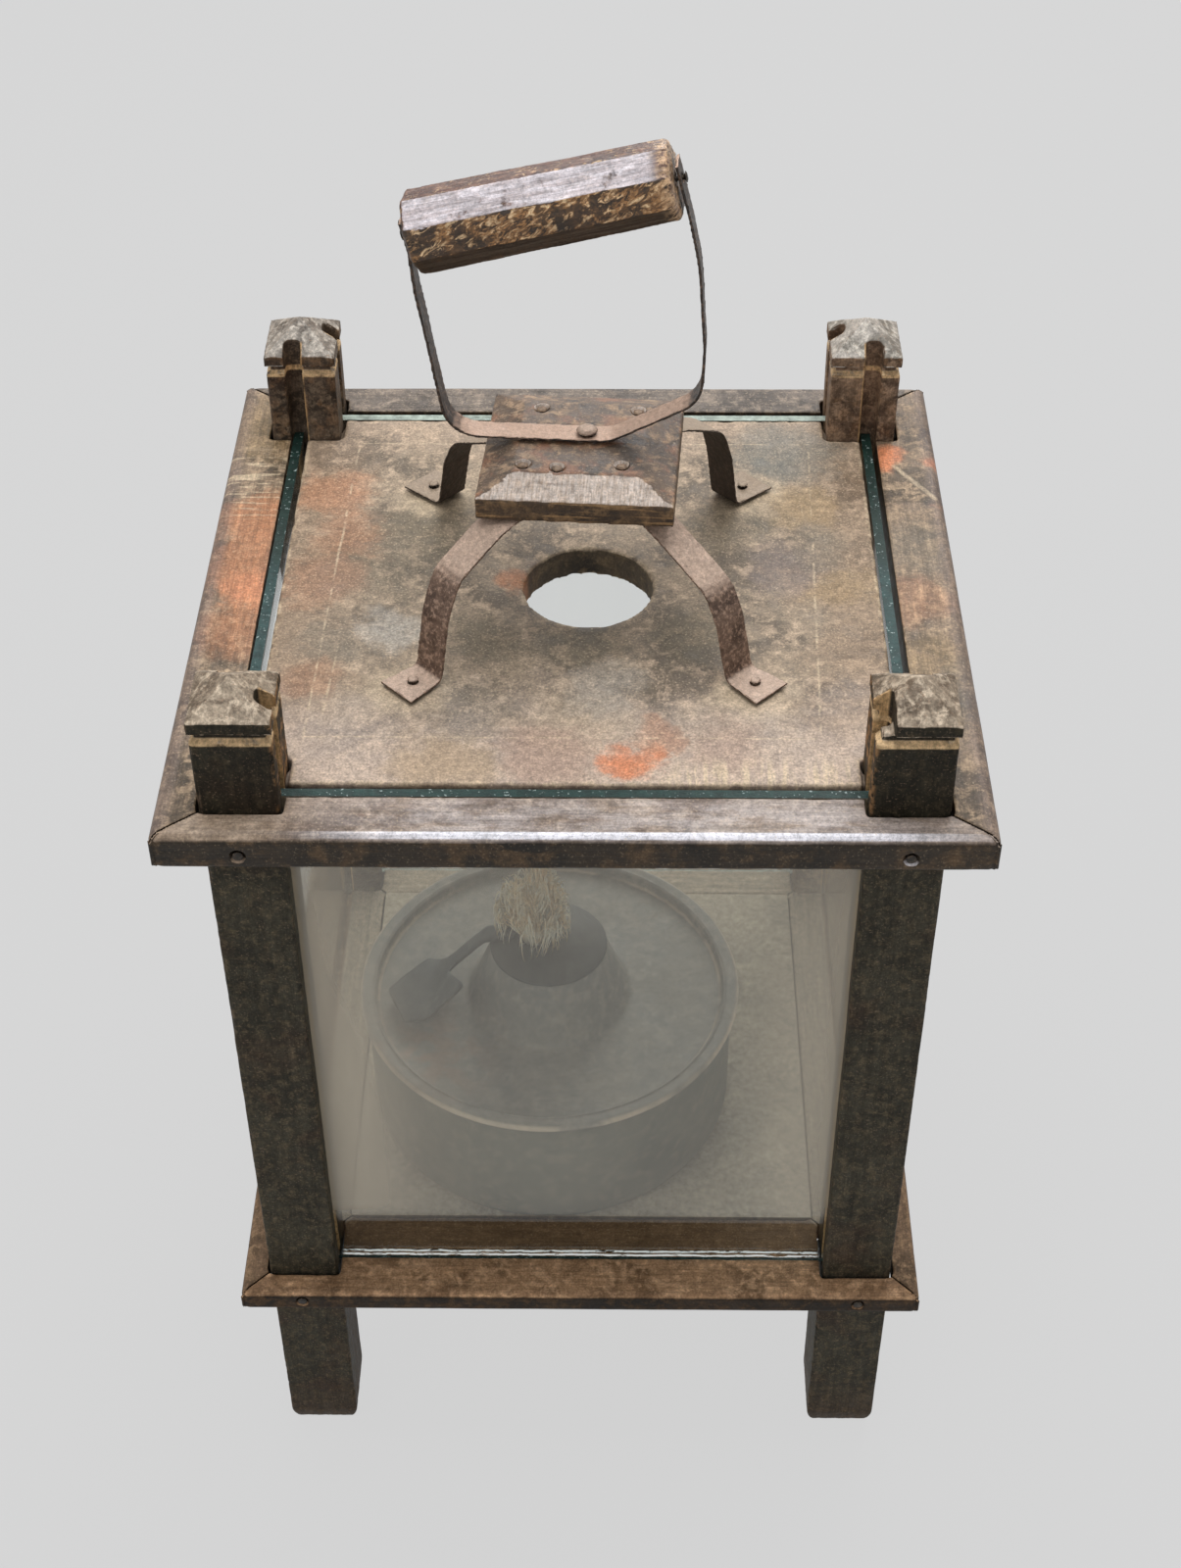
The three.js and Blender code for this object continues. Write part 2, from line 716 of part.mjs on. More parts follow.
function buildBlock() {
  const half = blockDepth / 2;
  const top = blockTop - blockUnderside;
  const form = squareTurned([
    [0, 0],
    [half, 0],
    [half, blockSide],
    [half - blockBevelInset, top],
    [0, top],
  ]);
  form.scale(blockWidth / blockDepth, 1, 1);
  const seat = top - nailHeadHeight;
  const shanks = blockNailSpots.map(([, x, y]) => nailHole(blockNailLength, x, y, seat));
  const heads = blockNailSpots.map(([, x, y]) => (
    upright(nailHeadRadius + fitGap, seat - fitGap, top + cutReach, x, y)
  ));
  const [rx, ry] = turnPoint(rivetX - blockX, rivetY - blockY, -blockYaw);
  const rivetHole = upright(rivetRadius + fitGap, -cutReach, cutReach, rx, ry);
  const block = cut(toSolid(form), ...shanks, ...heads, rivetHole);
  const mesh = addPiece(lantern, 'handle_block', block, blockWood);
  mesh.position.set(blockX, blockY, blockUnderside);
  mesh.rotation.z = THREE.MathUtils.degToRad(blockYaw);
  for (const { name, x, y } of blockNails()) {
    const piece = addPiece(lantern, name, nail(blockNailLength), nailIron);
    piece.position.set(x, y, blockTop - nailHeadHeight);
  }
}

// Rivet through the bail, the block and both straps, with a formed head at each end
function buildRivet() {
  const top = blockTop + fitGap + bailThickness + fitGap;
  const bottom = lowerStrapZ - strapThickness / 2 - fitGap;
  const head = (seat, way) => [
    [rivetHeadRadius, seat],
    [rivetHeadRadius * 0.92, seat + way * rivetHeadHeight * 0.4],
    [rivetHeadRadius * 0.6, seat + way * rivetHeadHeight * 0.85],
    [0, seat + way * rivetHeadHeight],
  ];
  const rivet = turned([
    ...head(bottom, -1).reverse(),
    [rivetRadius, bottom],
    [rivetRadius, top],
    ...head(top, 1),
  ], 16);
  const mesh = addPiece(lantern, 'swivel_rivet', toSolid(rivet), nailIron);
  mesh.position.set(rivetX, rivetY, 0);
}

// Bail, in the plane of its own X and Z, with the rivet at X = 0

const gripAxis = new THREE.Vector2(...turnPoint(1, 0, gripTilt));
const gripUp = new THREE.Vector2(...turnPoint(0, 1, gripTilt));
const gripMiddle = new THREE.Vector2(gripX, gripZ);

// Point on the bail's line beside a grip end, moved up the end face by rise
function earPoint(way, rise) {
  const outwards = gripLength / 2 + fitGap + bailThickness / 2;
  return gripMiddle.clone().addScaledVector(gripAxis, way * outwards).addScaledVector(gripUp, rise);
}

function bailSolid() {
  const seat = blockTop + fitGap + bailThickness / 2;
  const leftTop = earPoint(-1, earAbove);
  const leftEar = earPoint(-1, -leftEarBelow);
  const rightEar = earPoint(1, -rightEarBelow);
  const rightTop = earPoint(1, earAbove);
  const beside = (place) => ([x, rise, bend]) => [place + x, seat + rise, bend];
  const corners = [
    [leftTop.x, leftTop.y],
    [leftEar.x, leftEar.y, leftEarBend],
    ...[leftElbow, leftHeel].map(beside(earPoint(-1, 0).x)),
    beside(0)(rightToe),
    ...[rightHeel, rightShin, rightElbow].map(beside(earPoint(1, 0).x)),
    [rightEar.x, rightEar.y, rightEarBend],
    [rightTop.x, rightTop.y],
  ];
  const bar = slab(ribbon(bentLine(corners, 5), bailThickness), bailWidth);
  const rivetHole = upright(rivetRadius + fitGap, blockTop - 10, blockTop + 10, 0, 0, 16);
  const pinHoles = toSolid(alongGrip(turned([
    [0, -gripLength],
    [nailRadius + fitGap, -gripLength],
    [nailRadius + fitGap, gripLength],
    [0, gripLength],
  ], nailSides)));
  return cut(bar, rivetHole, pinHoles);
}

// Form built about Z, laid along the grip's axis at its middle, with +Z to the right end
function alongGrip(geometry) {
  return geometry.rotateY(Math.PI / 2 - THREE.MathUtils.degToRad(gripTilt)).translate(gripX, 0, gripZ);
}

// Octagonal grip, rolled a little about its axis
function gripSolid() {
  const half = gripLength / 2;
  const toCorner = 1 / Math.cos(Math.PI / gripFlats);
  const left = (gripAcrossLeft / 2) * toCorner;
  const right = (gripAcrossRight / 2) * toCorner;
  const body = toSolid(turned([
    [0, -half],
    [left - gripChamfer, -half],
    [left, -half + gripChamfer],
    [right, half - gripChamfer],
    [right - gripChamfer, half],
    [0, half],
  ], gripFlats).rotateZ(Math.PI / gripFlats - THREE.MathUtils.degToRad(gripRoll)));
  const inGrip = gripNailLength - bailThickness - 2 * fitGap;
  const hole = (way) => upright(nailRadius + fitGap, way > 0 ? half - inGrip - fitGap : -half - fitGap,
    way > 0 ? half + fitGap : -half + inGrip + fitGap);
  return cut(body, hole(1), hole(-1));
}

function buildBail() {
  const bail = new THREE.Group();
  bail.position.set(rivetX, rivetY, 0);
  bail.rotation.z = THREE.MathUtils.degToRad(bailYaw);
  lantern.add(bail);
  addPiece(bail, 'bail_strap', bailSolid(), strapIron);
  const gripGroup = new THREE.Group();
  gripGroup.position.set(gripX, 0, gripZ);
  gripGroup.rotation.y = Math.PI / 2 - THREE.MathUtils.degToRad(gripTilt);
  bail.add(gripGroup);
  addPiece(gripGroup, 'grip', gripSolid(), gripWood);
  const seat = gripLength / 2 + fitGap + bailThickness + fitGap;
  const right = addPiece(gripGroup, 'grip_nail_right', nail(gripNailLength), nailIron);
  right.position.z = seat;
  const left = addPiece(gripGroup, 'grip_nail_left', nail(gripNailLength), nailIron);
  left.position.z = -seat;
  left.rotation.x = Math.PI;
}

// Oil lamp about its own axis, with its bottom at Z = 0

const lidSeat = fontHeight + fitGap;
const lidEdge = fontRadius + lidOverhang;
const flangeTop = lidSeat + 2 * lidEdgeRadius;
const flangeInner = fontRadius - fontWall - 3 * fitGap - lidSheet;
const dishTop = flangeTop - lidSink;
const collarTop = dishTop + collarRise;
const capSeat = collarTop + fitGap;

function quarter(centreX, centreZ, radius, from, to, steps) {
  return Array.from({ length: steps + 1 }, (_, k) => {
    const angle = THREE.MathUtils.degToRad(from + ((to - from) * k) / steps);
    return [centreX + radius * Math.cos(angle), centreZ + radius * Math.sin(angle)];
  });
}

function fontSolid() {
  return toSolid(turned([
    [0, 0],
    ...quarter(fontRadius - fontCorner, fontCorner, fontCorner, -90, 0, 5),
    [fontRadius, fontHeight - fontBeadHeight],
    [fontRadius + fontBead, fontHeight - fontBeadHeight / 2],
    [fontRadius, fontHeight],
    [fontRadius - fontWall, fontHeight],
    ...quarter(fontRadius - fontCorner, fontCorner, fontCorner - fontWall, 0, -90, 5),
    [0, fontWall],
  ], lampSides));
}

// Rolled edge over the font's wall, flange, dish and the raised collar in the middle
function lidSolid() {
  const flangeUnder = flangeTop - lidSheet;
  const dishUnder = dishTop - lidSheet;
  return toSolid(turned([
    [lidEdge - lidEdgeRadius, lidSeat],
    ...quarter(lidEdge, lidSeat + lidEdgeRadius, lidEdgeRadius, -90, 90, 6),
    [lidEdge - 2 * lidEdgeRadius, flangeTop - lidFlangeFall],
    [flangeInner + lidSheet, flangeTop],
    [flangeInner, flangeTop - lidFlangeFall],
    [flangeInner - lidFlangeFall, dishTop],
    [collarBaseRadius + collarFoot, dishTop + dishCrown],
    [collarBaseRadius, dishTop + collarFoot],
    [collarTopRadius + collarWall, collarTop - collarNeck],
    [collarTopRadius, collarTop],
    [collarTopRadius - collarWall, collarTop],
    [collarTopRadius - collarWall, collarTop - collarNeck],
    [collarBaseRadius - collarFoot, dishUnder],
    [flangeInner + lidFlangeFall, dishUnder],
    [flangeInner + lidSheet, flangeUnder - lidFlangeFall],
    [lidEdge - lidEdgeRadius, flangeUnder - lidFlangeFall],
    [lidEdge - lidEdgeRadius, lidSeat],
  ], lampSides));
}

const capRadius = collarTopRadius + capOverlap;
const armRoot = collarTopRadius - armInset;

// Height of the cap's upper face at a distance from the lamp's axis
function capHeight(distance) {
  const share = Math.min(distance / capRadius, 1);
  return capSeat + lidSheet + capDome * (1 - share * share);
}

function capSolid() {
  const skirtRadius = collarTopRadius - collarWall - fitGap;
  const steps = [1, 0.8, 0.6, 0.4, 0.2];
  const face = (drop) => steps.map((share) => [capRadius * share, capHeight(capRadius * share) - drop]);
  const outer = face(0);
  const inner = face(lidSheet).reverse();
  const dome = toSolid(turned([
    [skirtRadius - lidSheet, capSeat - capSkirt],
    [skirtRadius, capSeat - capSkirt],
    [skirtRadius, capSeat],
    [capRadius, capSeat],
    ...outer,
    [0, capSeat + lidSheet + capDome],
    [0, capSeat + capDome],
    ...inner.filter(([radius]) => radius < skirtRadius - lidSheet),
    [skirtRadius - lidSheet, capHeight(skirtRadius) - lidSheet],
    [skirtRadius - lidSheet, capSeat - capSkirt],
  ], lampSides));
  const bore = wickRadius + wickPlay;
  const wickHole = upright(bore, capSeat - cutReach, capSeat + cutReach, wickX, wickY, 20);
  const rivetHole = armRivetHole().rotateZ(THREE.MathUtils.degToRad(armAngle));
  return cut(dome, wickHole, toSolid(rivetHole));
}

// Where the arm lies on the cap: its middle line there, its slope and the rivet's hole
const armAbove = fitGap + armThickness / 2;
const armSeatEnd = armRoot + armSeatLength;
const armRivetSpot = armRoot + armSeatLength / 2;
const armSeatZ = (capHeight(armRoot) + capHeight(armSeatEnd)) / 2 + armAbove;
const armSlope = Math.atan2(capHeight(armSeatEnd) - capHeight(armRoot), armSeatLength);

function armRivetHole() {
  const radius = nailRadius + fitGap;
  const length = armRivetLength + fitGap;
  const hole = turned([[0, -length], [radius, -length], [radius, length], [0, length]], nailSides);
  return hole.rotateY(-armSlope).translate(armRivetSpot, 0, armSeatZ);
}

// Arm about the lamp's axis: from the cap down to a broad level leaf above the dish
function armSolid() {
  const leafZ = dishTop + leafLift;
  const ease = armSeatEase;
  const corners = [
    [armRoot, capHeight(armRoot) + armAbove],
    [armSeatEnd + ease, capHeight(armSeatEnd) + armAbove + ease * Math.tan(armSlope), 6],
    [armBend, leafZ, 8],
    [leafTip[0] + ease, leafZ],
  ];
  const half = armWidth / 2;
  const bar = slab(ribbon(bentLine(corners, 4), armThickness), 2 * leafFront[1] + armWidth);
  const plan = polygon([
    [armRoot, -half],
    leafBack,
    leafTip,
    leafFront,
    leafInner,
    leafNeck,
    [armRoot, half],
  ]);
  return cut(bar.intersect(plate(plan, 0, 2 * collarTop)), toSolid(armRivetHole()));
}

// Tow wick: a round bundle down into the oil and a frayed tuft above the cap
function wickSolid() {
  const mouth = capSeat + capDome + lidSheet;
  const bundle = [[0, wickFoot], [wickRadius, wickFoot], [wickRadius, mouth]];
  const tuft = [[0.46, 0.12], [0.72, 0.42], [1, 0.68], [0.82, 0.88], [0.35, 1], [0, 1]];
  const spread = tuft.map(([wide, high]) => [tuftRadius * wide, mouth + tuftHeight * high]);
  const geometry = turned([...bundle, ...spread], 16);
  const position = geometry.getAttribute('position');
  for (let i = 0; i < position.count; i += 1) {
    const rise = Math.max(position.getZ(i) - mouth, 0) / tuftHeight;
    position.setX(i, position.getX(i) + tuftLean * rise);
  }
  return toSolid(geometry);
}

function buildLamp() {
  const lamp = new THREE.Group();
  lamp.position.set(lampX, lampY, fontZ);
  lantern.add(lamp);
  addPiece(lamp, 'lamp_font', fontSolid(), lampIron);
  addPiece(lamp, 'lamp_lid', lidSolid(), lampIron);
  addPiece(lamp, 'wick_cap', capSolid(), lampIron);
  const armGroup = new THREE.Group();
  armGroup.rotation.z = THREE.MathUtils.degToRad(armAngle);
  lamp.add(armGroup);
  addPiece(armGroup, 'wick_arm', armSolid(), lampIron);
  const armSeat = new THREE.Group();
  armSeat.position.set(armRivetSpot, 0, armSeatZ);
  armSeat.rotation.y = -armSlope;
  armGroup.add(armSeat);
  const rivet = addPiece(armSeat, 'wick_arm_rivet', nail(armRivetLength), nailIron);
  rivet.position.z = armThickness / 2 + fitGap;
  const wick = addPiece(lamp, 'wick', wickSolid(), tow);
  wick.position.set(wickX, wickY, 0);
}

buildPosts();
buildFrame(topFrame);
buildFrame(baseFrame);
buildFloor();
buildRoof();
buildPanes();
buildStraps();
buildBlock();
buildRivet();
buildBail();
buildLamp();

export default lantern;
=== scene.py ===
import math
import random

import bpy
from mathutils import Euler, Matrix, Vector


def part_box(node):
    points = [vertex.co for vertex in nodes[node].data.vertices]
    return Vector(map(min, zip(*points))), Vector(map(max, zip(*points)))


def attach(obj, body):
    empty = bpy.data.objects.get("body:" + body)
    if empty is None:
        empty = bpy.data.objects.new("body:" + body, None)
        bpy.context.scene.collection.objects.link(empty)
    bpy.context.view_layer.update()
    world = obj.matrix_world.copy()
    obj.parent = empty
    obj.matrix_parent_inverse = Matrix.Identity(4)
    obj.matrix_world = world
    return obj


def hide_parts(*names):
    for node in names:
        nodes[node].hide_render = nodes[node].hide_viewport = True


# Old wooden oil lantern: worn timber, forged iron, thick glass and a frayed tow wick.
# Lengths are metres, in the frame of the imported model.

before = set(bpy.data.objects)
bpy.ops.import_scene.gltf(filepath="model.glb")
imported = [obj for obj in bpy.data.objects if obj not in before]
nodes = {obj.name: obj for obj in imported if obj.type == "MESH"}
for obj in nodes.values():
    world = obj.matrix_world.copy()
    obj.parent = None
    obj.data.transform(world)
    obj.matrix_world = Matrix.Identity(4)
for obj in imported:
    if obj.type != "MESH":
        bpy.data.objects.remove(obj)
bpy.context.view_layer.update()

# Places taken from the model
ROOF_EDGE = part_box("roof_board")[1].x
FRAME_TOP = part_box("roof_board")[1].z
POST_SHOULDER = FRAME_TOP + 0.0315
BASE_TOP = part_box("floor_board")[1].z
POST_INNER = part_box("post_front_right")[0].x
POST_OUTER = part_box("post_front_right")[1].x
POST_AXIS = (POST_INNER + POST_OUTER) / 2
PANE_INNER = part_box("pane_right")[0].x
SLOT_LINE = (PANE_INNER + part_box("pane_right")[1].x) / 2
FRAME_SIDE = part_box("top_rail_right")[1].x
FRAME_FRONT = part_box("top_rail_front")[0].y
BASE_SIDE_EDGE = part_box("base_rail_right")[1].x
BASE_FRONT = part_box("base_rail_front")[0].y
LID_LOW, LID_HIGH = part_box("lamp_lid")
LAMP_MIDDLE = (LID_LOW + LID_HIGH) / 2
LID_RADIUS = (LID_HIGH.x - LID_LOW.x) / 2
WICK_LOW, WICK_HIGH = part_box("wick")
CAP_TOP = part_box("wick_cap")[1].z

GRIP_TILT = math.radians(14.6)
BAIL_YAW = math.radians(-4)
NO_TURN = (0.0, 0.0, 0.0)
BLOCK_TURN = (0.0, 0.0, -BAIL_YAW)
GRIP_TURN = (0.0, GRIP_TILT, -BAIL_YAW)
GRIP_END = max((Euler(GRIP_TURN).to_matrix() @ vertex.co).x
               for vertex in nodes["grip"].data.vertices)

# Grain: shares of a noise's scale along X, Y and Z, least along the fibres
ALONG_X = (0.06, 1, 1)
ALONG_Y = (1, 0.06, 1)
ALONG_Z = (1, 1, 0.06)
EVEN = (1, 1, 1)

# Voxels that the pieces are remeshed with
RAIL_VOXEL = 0.0008  # for the posts and the block too
ROOF_VOXEL = 0.0014
GRIP_VOXEL = 0.0007
STRAP_VOXEL = 0.0005
NAIL_VOXEL = 0.0004

LEAST_WEAR = 0.00024  # keeps the fine meshes within the solids
NO_SEAM = (0, 0, 0)
SEAM_REACH = (0.0008, 0.0022)  # distances from a mitre between which its closing fades
SEAM_CLOSED = 0.97  # share of a mitre's gap
FOOT_ROUND = 0.012  # height up the legs
SHARP_EDGE = math.radians(38)
DENT_DEPTH = 0.0004
PANE_ARRIS = 0.0004


def depths(grain, chip, hollow, wear, edge=0.0004, foot=0.0):
    """Values of the weathering. Grain, chip and hollow are each (depth, scale of its noise)."""
    return {"Grain depth": grain[0], "Grain size": grain[1], "Chip depth": chip[0],
            "Chip size": chip[1], "Hollow depth": hollow[0], "Hollow size": hollow[1],
            "Wear depth": wear, "Edge size": edge, "Foot share": foot}


POST = depths((0.0002, 260.0), (0.0008, 130.0), (0.0005, 14.0), 0.0002, foot=0.21)
RAIL = depths((0.00004, 260.0), (0.0003, 85.0), (0.0005, 14.0), 0.00006)
BOARD = depths((0.00002, 260.0), (0.0005, 85.0), (0.0003, 14.0), 0.0001)
HEWN = depths((0.0001, 330.0), (0.0003, 140.0), (0.0001, 30.0), 0.0001)
CARVED = depths((0.00045, 300.0), (0.0009, 130.0), (0.0006, 60.0), 0.0003)
FORGED = depths((0.00015, 420.0), (0.0005, 180.0), (0.0004, 70.0), 0.0002, 0.0003)
NAIL_HEAD = depths((0.00015, 420.0), (0.0002, 180.0), (0.00015, 70.0), 0.0002, 0.0003)


def srgb(red, green, blue):
    """Colour as read from a screen, 0 to 255, as the linear colour that shaders take."""
    def linear(value):
        value /= 255
        return value / 12.92 if value <= 0.04045 else ((value + 0.055) / 1.055) ** 2.4
    return (linear(red), linear(green), linear(blue), 1.0)


def tones(*colours):
    return [srgb(*colour) for colour in colours]


class Number:
    """A number that a node gives. Arithmetic with it adds the nodes that work it out."""

    def __init__(self, graph, socket):
        self.graph = graph
        self.socket = socket

    def __add__(self, other):
        return self.graph.math("ADD", self, other)

    def __sub__(self, other):
        return self.graph.math("SUBTRACT", self, other)

    def __rsub__(self, other):
        return self.graph.math("SUBTRACT", other, self)

    def __mul__(self, other):
        return self.graph.math("MULTIPLY", self, other)

    def __abs__(self):
        return self.graph.math("ABSOLUTE", self)


class Graph:
    """A node tree with short calls that add nodes and join them."""

    def __init__(self, tree):
        self.tree = tree
        tree.nodes.clear()

    def add(self, kind, inputs=None, **settings):
        node = self.tree.nodes.new(kind)
        for name, value in settings.items():
            setattr(node, name, value)
        for key, value in (inputs or {}).items():
            self.plug(value, node.inputs[key])
        return node

    def plug(self, value, socket):
        if isinstance(value, Number):
            value = value.socket
        if isinstance(value, bpy.types.NodeSocket):
            self.tree.links.new(value, socket)
        else:
            socket.default_value = value

    def out(self, kind, inputs=None, **settings):
        """First output of a new node."""
        return self.add(kind, inputs, **settings).outputs[0]

    def math(self, operation, first, second=0.0):
        return Number(self, self.out("ShaderNodeMath", {0: first, 1: second},
                                     operation=operation))

    def most(self, first, second):
        return self.math("MAXIMUM", first, second)

    def step(self, value, low, high):
        """0 below low and 1 above high, with a smooth rise between."""
        return Number(self, self.out("ShaderNodeMapRange", {0: value, 1: low, 2: high},
                                     interpolation_type="SMOOTHSTEP"))

    def fall(self, value, low, high):
        """1 below low and 0 above high, with a smooth fall between."""
        return 1 - self.step(value, low, high)

    def band(self, value, low, high, soft):
        """1 between low and high, fading over soft on both sides."""
        rise = self.step(value, low - soft, low + soft)
        return rise * self.fall(value, high - soft, high + soft)

    def vector(self, operation, first, second):
        """Sum, product or other two-vector operation; distances and dots come as numbers."""
        outputs = self.add("ShaderNodeVectorMath", {0: first, 1: second},
                           operation=operation).outputs
        if operation in ("DISTANCE", "DOT_PRODUCT"):
            return Number(self, outputs["Value"])
        return outputs["Vector"]

    def scaled(self, vector, factors):
        """The vector with each part times its own factor."""
        return self.vector("MULTIPLY", vector, factors)

    def multiple(self, vector, amount):
        return self.out("ShaderNodeVectorMath", {0: vector, "Scale": amount}, operation="SCALE")

    def turned(self, vector, turn):
        return self.out("ShaderNodeVectorRotate", {"Vector": vector, "Rotation": turn},
                        rotation_type="EULER_XYZ")

    def apart(self, vector):
        outputs = self.add("ShaderNodeSeparateXYZ", {0: vector}).outputs
        return [Number(self, output) for output in outputs]

    def noise(self, vector, scale, detail=3.0, roughness=0.5, distortion=0.0):
        inputs = {"Vector": vector, "Scale": scale, "Detail": detail,
                  "Roughness": roughness, "Distortion": distortion}
        return Number(self, self.out("ShaderNodeTexNoise", inputs))

    def warped(self, vector, amount, scale):
        """The place pushed about by noise, so that spots get uneven outlines."""
        inputs = {"Vector": vector, "Scale": scale, "Detail": 4.0, "Roughness": 0.62}
        push = self.add("ShaderNodeTexNoise", inputs).outputs[1]
        push = self.vector("SUBTRACT", push, (0.5, 0.5, 0.5))
        return self.vector("ADD", vector, self.scaled(push, (amount, amount, amount)))

    def spot(self, vector, centre, radius, softness=0.6):
        """1 within radius of centre, fading out over softness of it."""
        distance = self.vector("DISTANCE", vector, centre)
        return self.fall(distance, radius * (1 - softness), radius * (1 + softness))

    def stroke(self, vector, start, end, width):
        """1 on the straight line from start to end, fading out over width."""
        run = Vector(end) - Vector(start)
        offset = self.vector("SUBTRACT", vector, start)
        share = self.vector("DOT_PRODUCT", offset, tuple(run / run.length_squared))
        share = self.out("ShaderNodeClamp", {0: share})
        distance = self.vector("DISTANCE", offset, self.multiple(tuple(run), share))
        return self.fall(distance, width * 0.25, width)

    def blend(self, share, under, over):
        """Shader that goes from under to over."""
        return self.out("ShaderNodeMixShader", {0: share, 1: under, 2: over})


# Weathering of the solids

def new_group(name, floats, vectors=()):
    """Geometry node group with a geometry in and out, and the named numbers and vectors in."""
    group = bpy.data.node_groups.new(name, "GeometryNodeTree")
    sockets = [("Geometry", "OUTPUT", "Geometry"), ("Geometry", "INPUT", "Geometry")]
    sockets += [(label, "INPUT", "Float") for label in floats]
    sockets += [(label, "INPUT", "Vector") for label in vectors]
    for label, way, kind in sockets:
        group.interface.new_socket(label, in_out=way, socket_type="NodeSocket" + kind)
    return group


def live(sockets, name):
    """The socket of that name that the node's settings have switched on."""
    return next(socket for socket in sockets if socket.name == name and socket.enabled)


def weather_group():
    """Wears a fine mesh inwards: rounded and chipped edges, grain and slow hollows. It also
    closes the gaps of the mitres and rounds the soles of the legs."""
    group = new_group(
        "weathering",
        ["Grain depth", "Wear depth", "Chip depth", "Hollow depth", "Edge size", "Grain size",
         "Chip size", "Hollow size", "Seam place", "Foot share"],
        ["Grain", "Turn", "Seed", "Seam"],
    )
    graph = Graph(group)
    source = graph.add("NodeGroupInput").outputs
    place = graph.out("GeometryNodeInputPosition")
    normal = graph.out("GeometryNodeInputNormal")
    blur = graph.add("GeometryNodeBlurAttribute", {"Iterations": 4}, data_type="FLOAT_VECTOR")
    graph.plug(place, live(blur.inputs, "Value"))
    bulge = graph.vector("SUBTRACT", place, live(blur.outputs, "Value"))
    rise = graph.vector("DOT_PRODUCT", bulge, normal)
    edge = graph.step(rise, 0.0, source["Edge size"])

    x, y, z = graph.apart(place)
    quarter = graph.vector("ABSOLUTE", place, place)
    from_seam = graph.vector("DOT_PRODUCT", quarter, source["Seam"]) - source["Seam place"]
    seam = graph.fall(abs(from_seam), *SEAM_REACH)
    edge = edge * (1 - seam)
    signs = graph.out("ShaderNodeCombineXYZ", {0: graph.math("SIGN", x),
                                               1: graph.math("SIGN", y)})
    across = graph.scaled(signs, source["Seam"])
    closed = graph.multiple(across, from_seam * seam * -SEAM_CLOSED)

    axis = graph.scaled(signs, (POST_AXIS, POST_AXIS, 0))
    outwards = graph.vector("SUBTRACT", graph.scaled(place, (1, 1, 0)), axis)
    foot = graph.fall(z, -FOOT_ROUND, FOOT_ROUND) * -2.0 * source["Foot share"]
    rounded = graph.multiple(outwards, foot)

    moved = graph.vector("ADD", graph.turned(place, source["Turn"]), source["Seed"])
    grain = graph.noise(graph.scaled(moved, source["Grain"]), source["Grain size"], 3.0, 0.55)
    bite = graph.step(graph.noise(moved, source["Chip size"], 3.0, 0.6), 0.5, 0.66)
    hollow = graph.noise(moved, source["Hollow size"], 2.0, 0.5)

    depth = graph.step(grain, 0.3, 0.75) * source["Grain depth"] + LEAST_WEAR
    depth = depth + hollow * source["Hollow depth"]
    depth = depth + edge * ((grain + 0.4) * source["Wear depth"])
    depth = depth + edge * bite * source["Chip depth"]
    worn = graph.multiple(normal, depth * -1.0)
    offset = graph.vector("ADD", graph.vector("ADD", worn, closed), rounded)
    shifted = graph.out("GeometryNodeSetPosition",
                        {"Geometry": source["Geometry"], "Offset": offset})
    store = graph.add("GeometryNodeStoreNamedAttribute", {"Geometry": shifted, "Name": "wear"},
                      data_type="FLOAT", domain="POINT")
    graph.plug(edge, live(store.inputs, "Value"))
    graph.add("NodeGroupOutput", {0: store.outputs[0]})
    return group


def turning_group():
    """Rounds a turned solid's facets, keeps its sharp edges and dents it slightly."""
    group = new_group("turning", ["Dent depth"])
    graph = Graph(group)
    source = graph.add("NodeGroupInput").outputs
    merged = graph.out("GeometryNodeMergeByDistance",
                       {"Geometry": source["Geometry"], "Distance": 1e-5})
    angle = graph.out("GeometryNodeInputMeshEdgeAngle")
    crease = graph.math("GREATER_THAN", angle, SHARP_EDGE) * 0.9
    rounder = graph.out("GeometryNodeSubdivisionSurface",
                        {"Mesh": merged, "Level": 2, "Edge Crease": crease})
    place = graph.out("GeometryNodeInputPosition")
    normal = graph.out("GeometryNodeInputNormal")
    depth = graph.noise(place, 38.0, 2.0, 0.5) * source["Dent depth"] * -1.0
    shifted = graph.out("GeometryNodeSetPosition",
                        {"Geometry": rounder, "Offset": graph.multiple(normal, depth)})
    smooth = graph.out("GeometryNodeSetShadeSmooth",
                       {"Geometry": shifted, "Shade Smooth": True})
    graph.add("NodeGroupOutput", {0: smooth})
    return group


def add_group(target, group, values):
    """Puts the node group on the object as a modifier, with the values given by input name."""
    modifier = target.modifiers.new(group.name, "NODES")
    modifier.node_group = group
    for item in group.interface.items_tree:
        if item.in_out == "INPUT" and item.name in values:
            modifier[item.identifier] = values[item.name]


def seam_of(side, front):
    """Upright plane of a mitre, from the post's outer corner to the corner of a frame that
    reaches to side and front, as the values of the weathering that close its narrow gap."""
    run = Vector((side - POST_OUTER, abs(front) - POST_OUTER, 0)).normalized()
    across = Vector((run.y, -run.x, 0))
    return {"Seam": tuple(across), "Seam place": POST_OUTER * (across.x + across.y)}


def paint(target, material):
    for slot in target.material_slots:
        slot.material = material


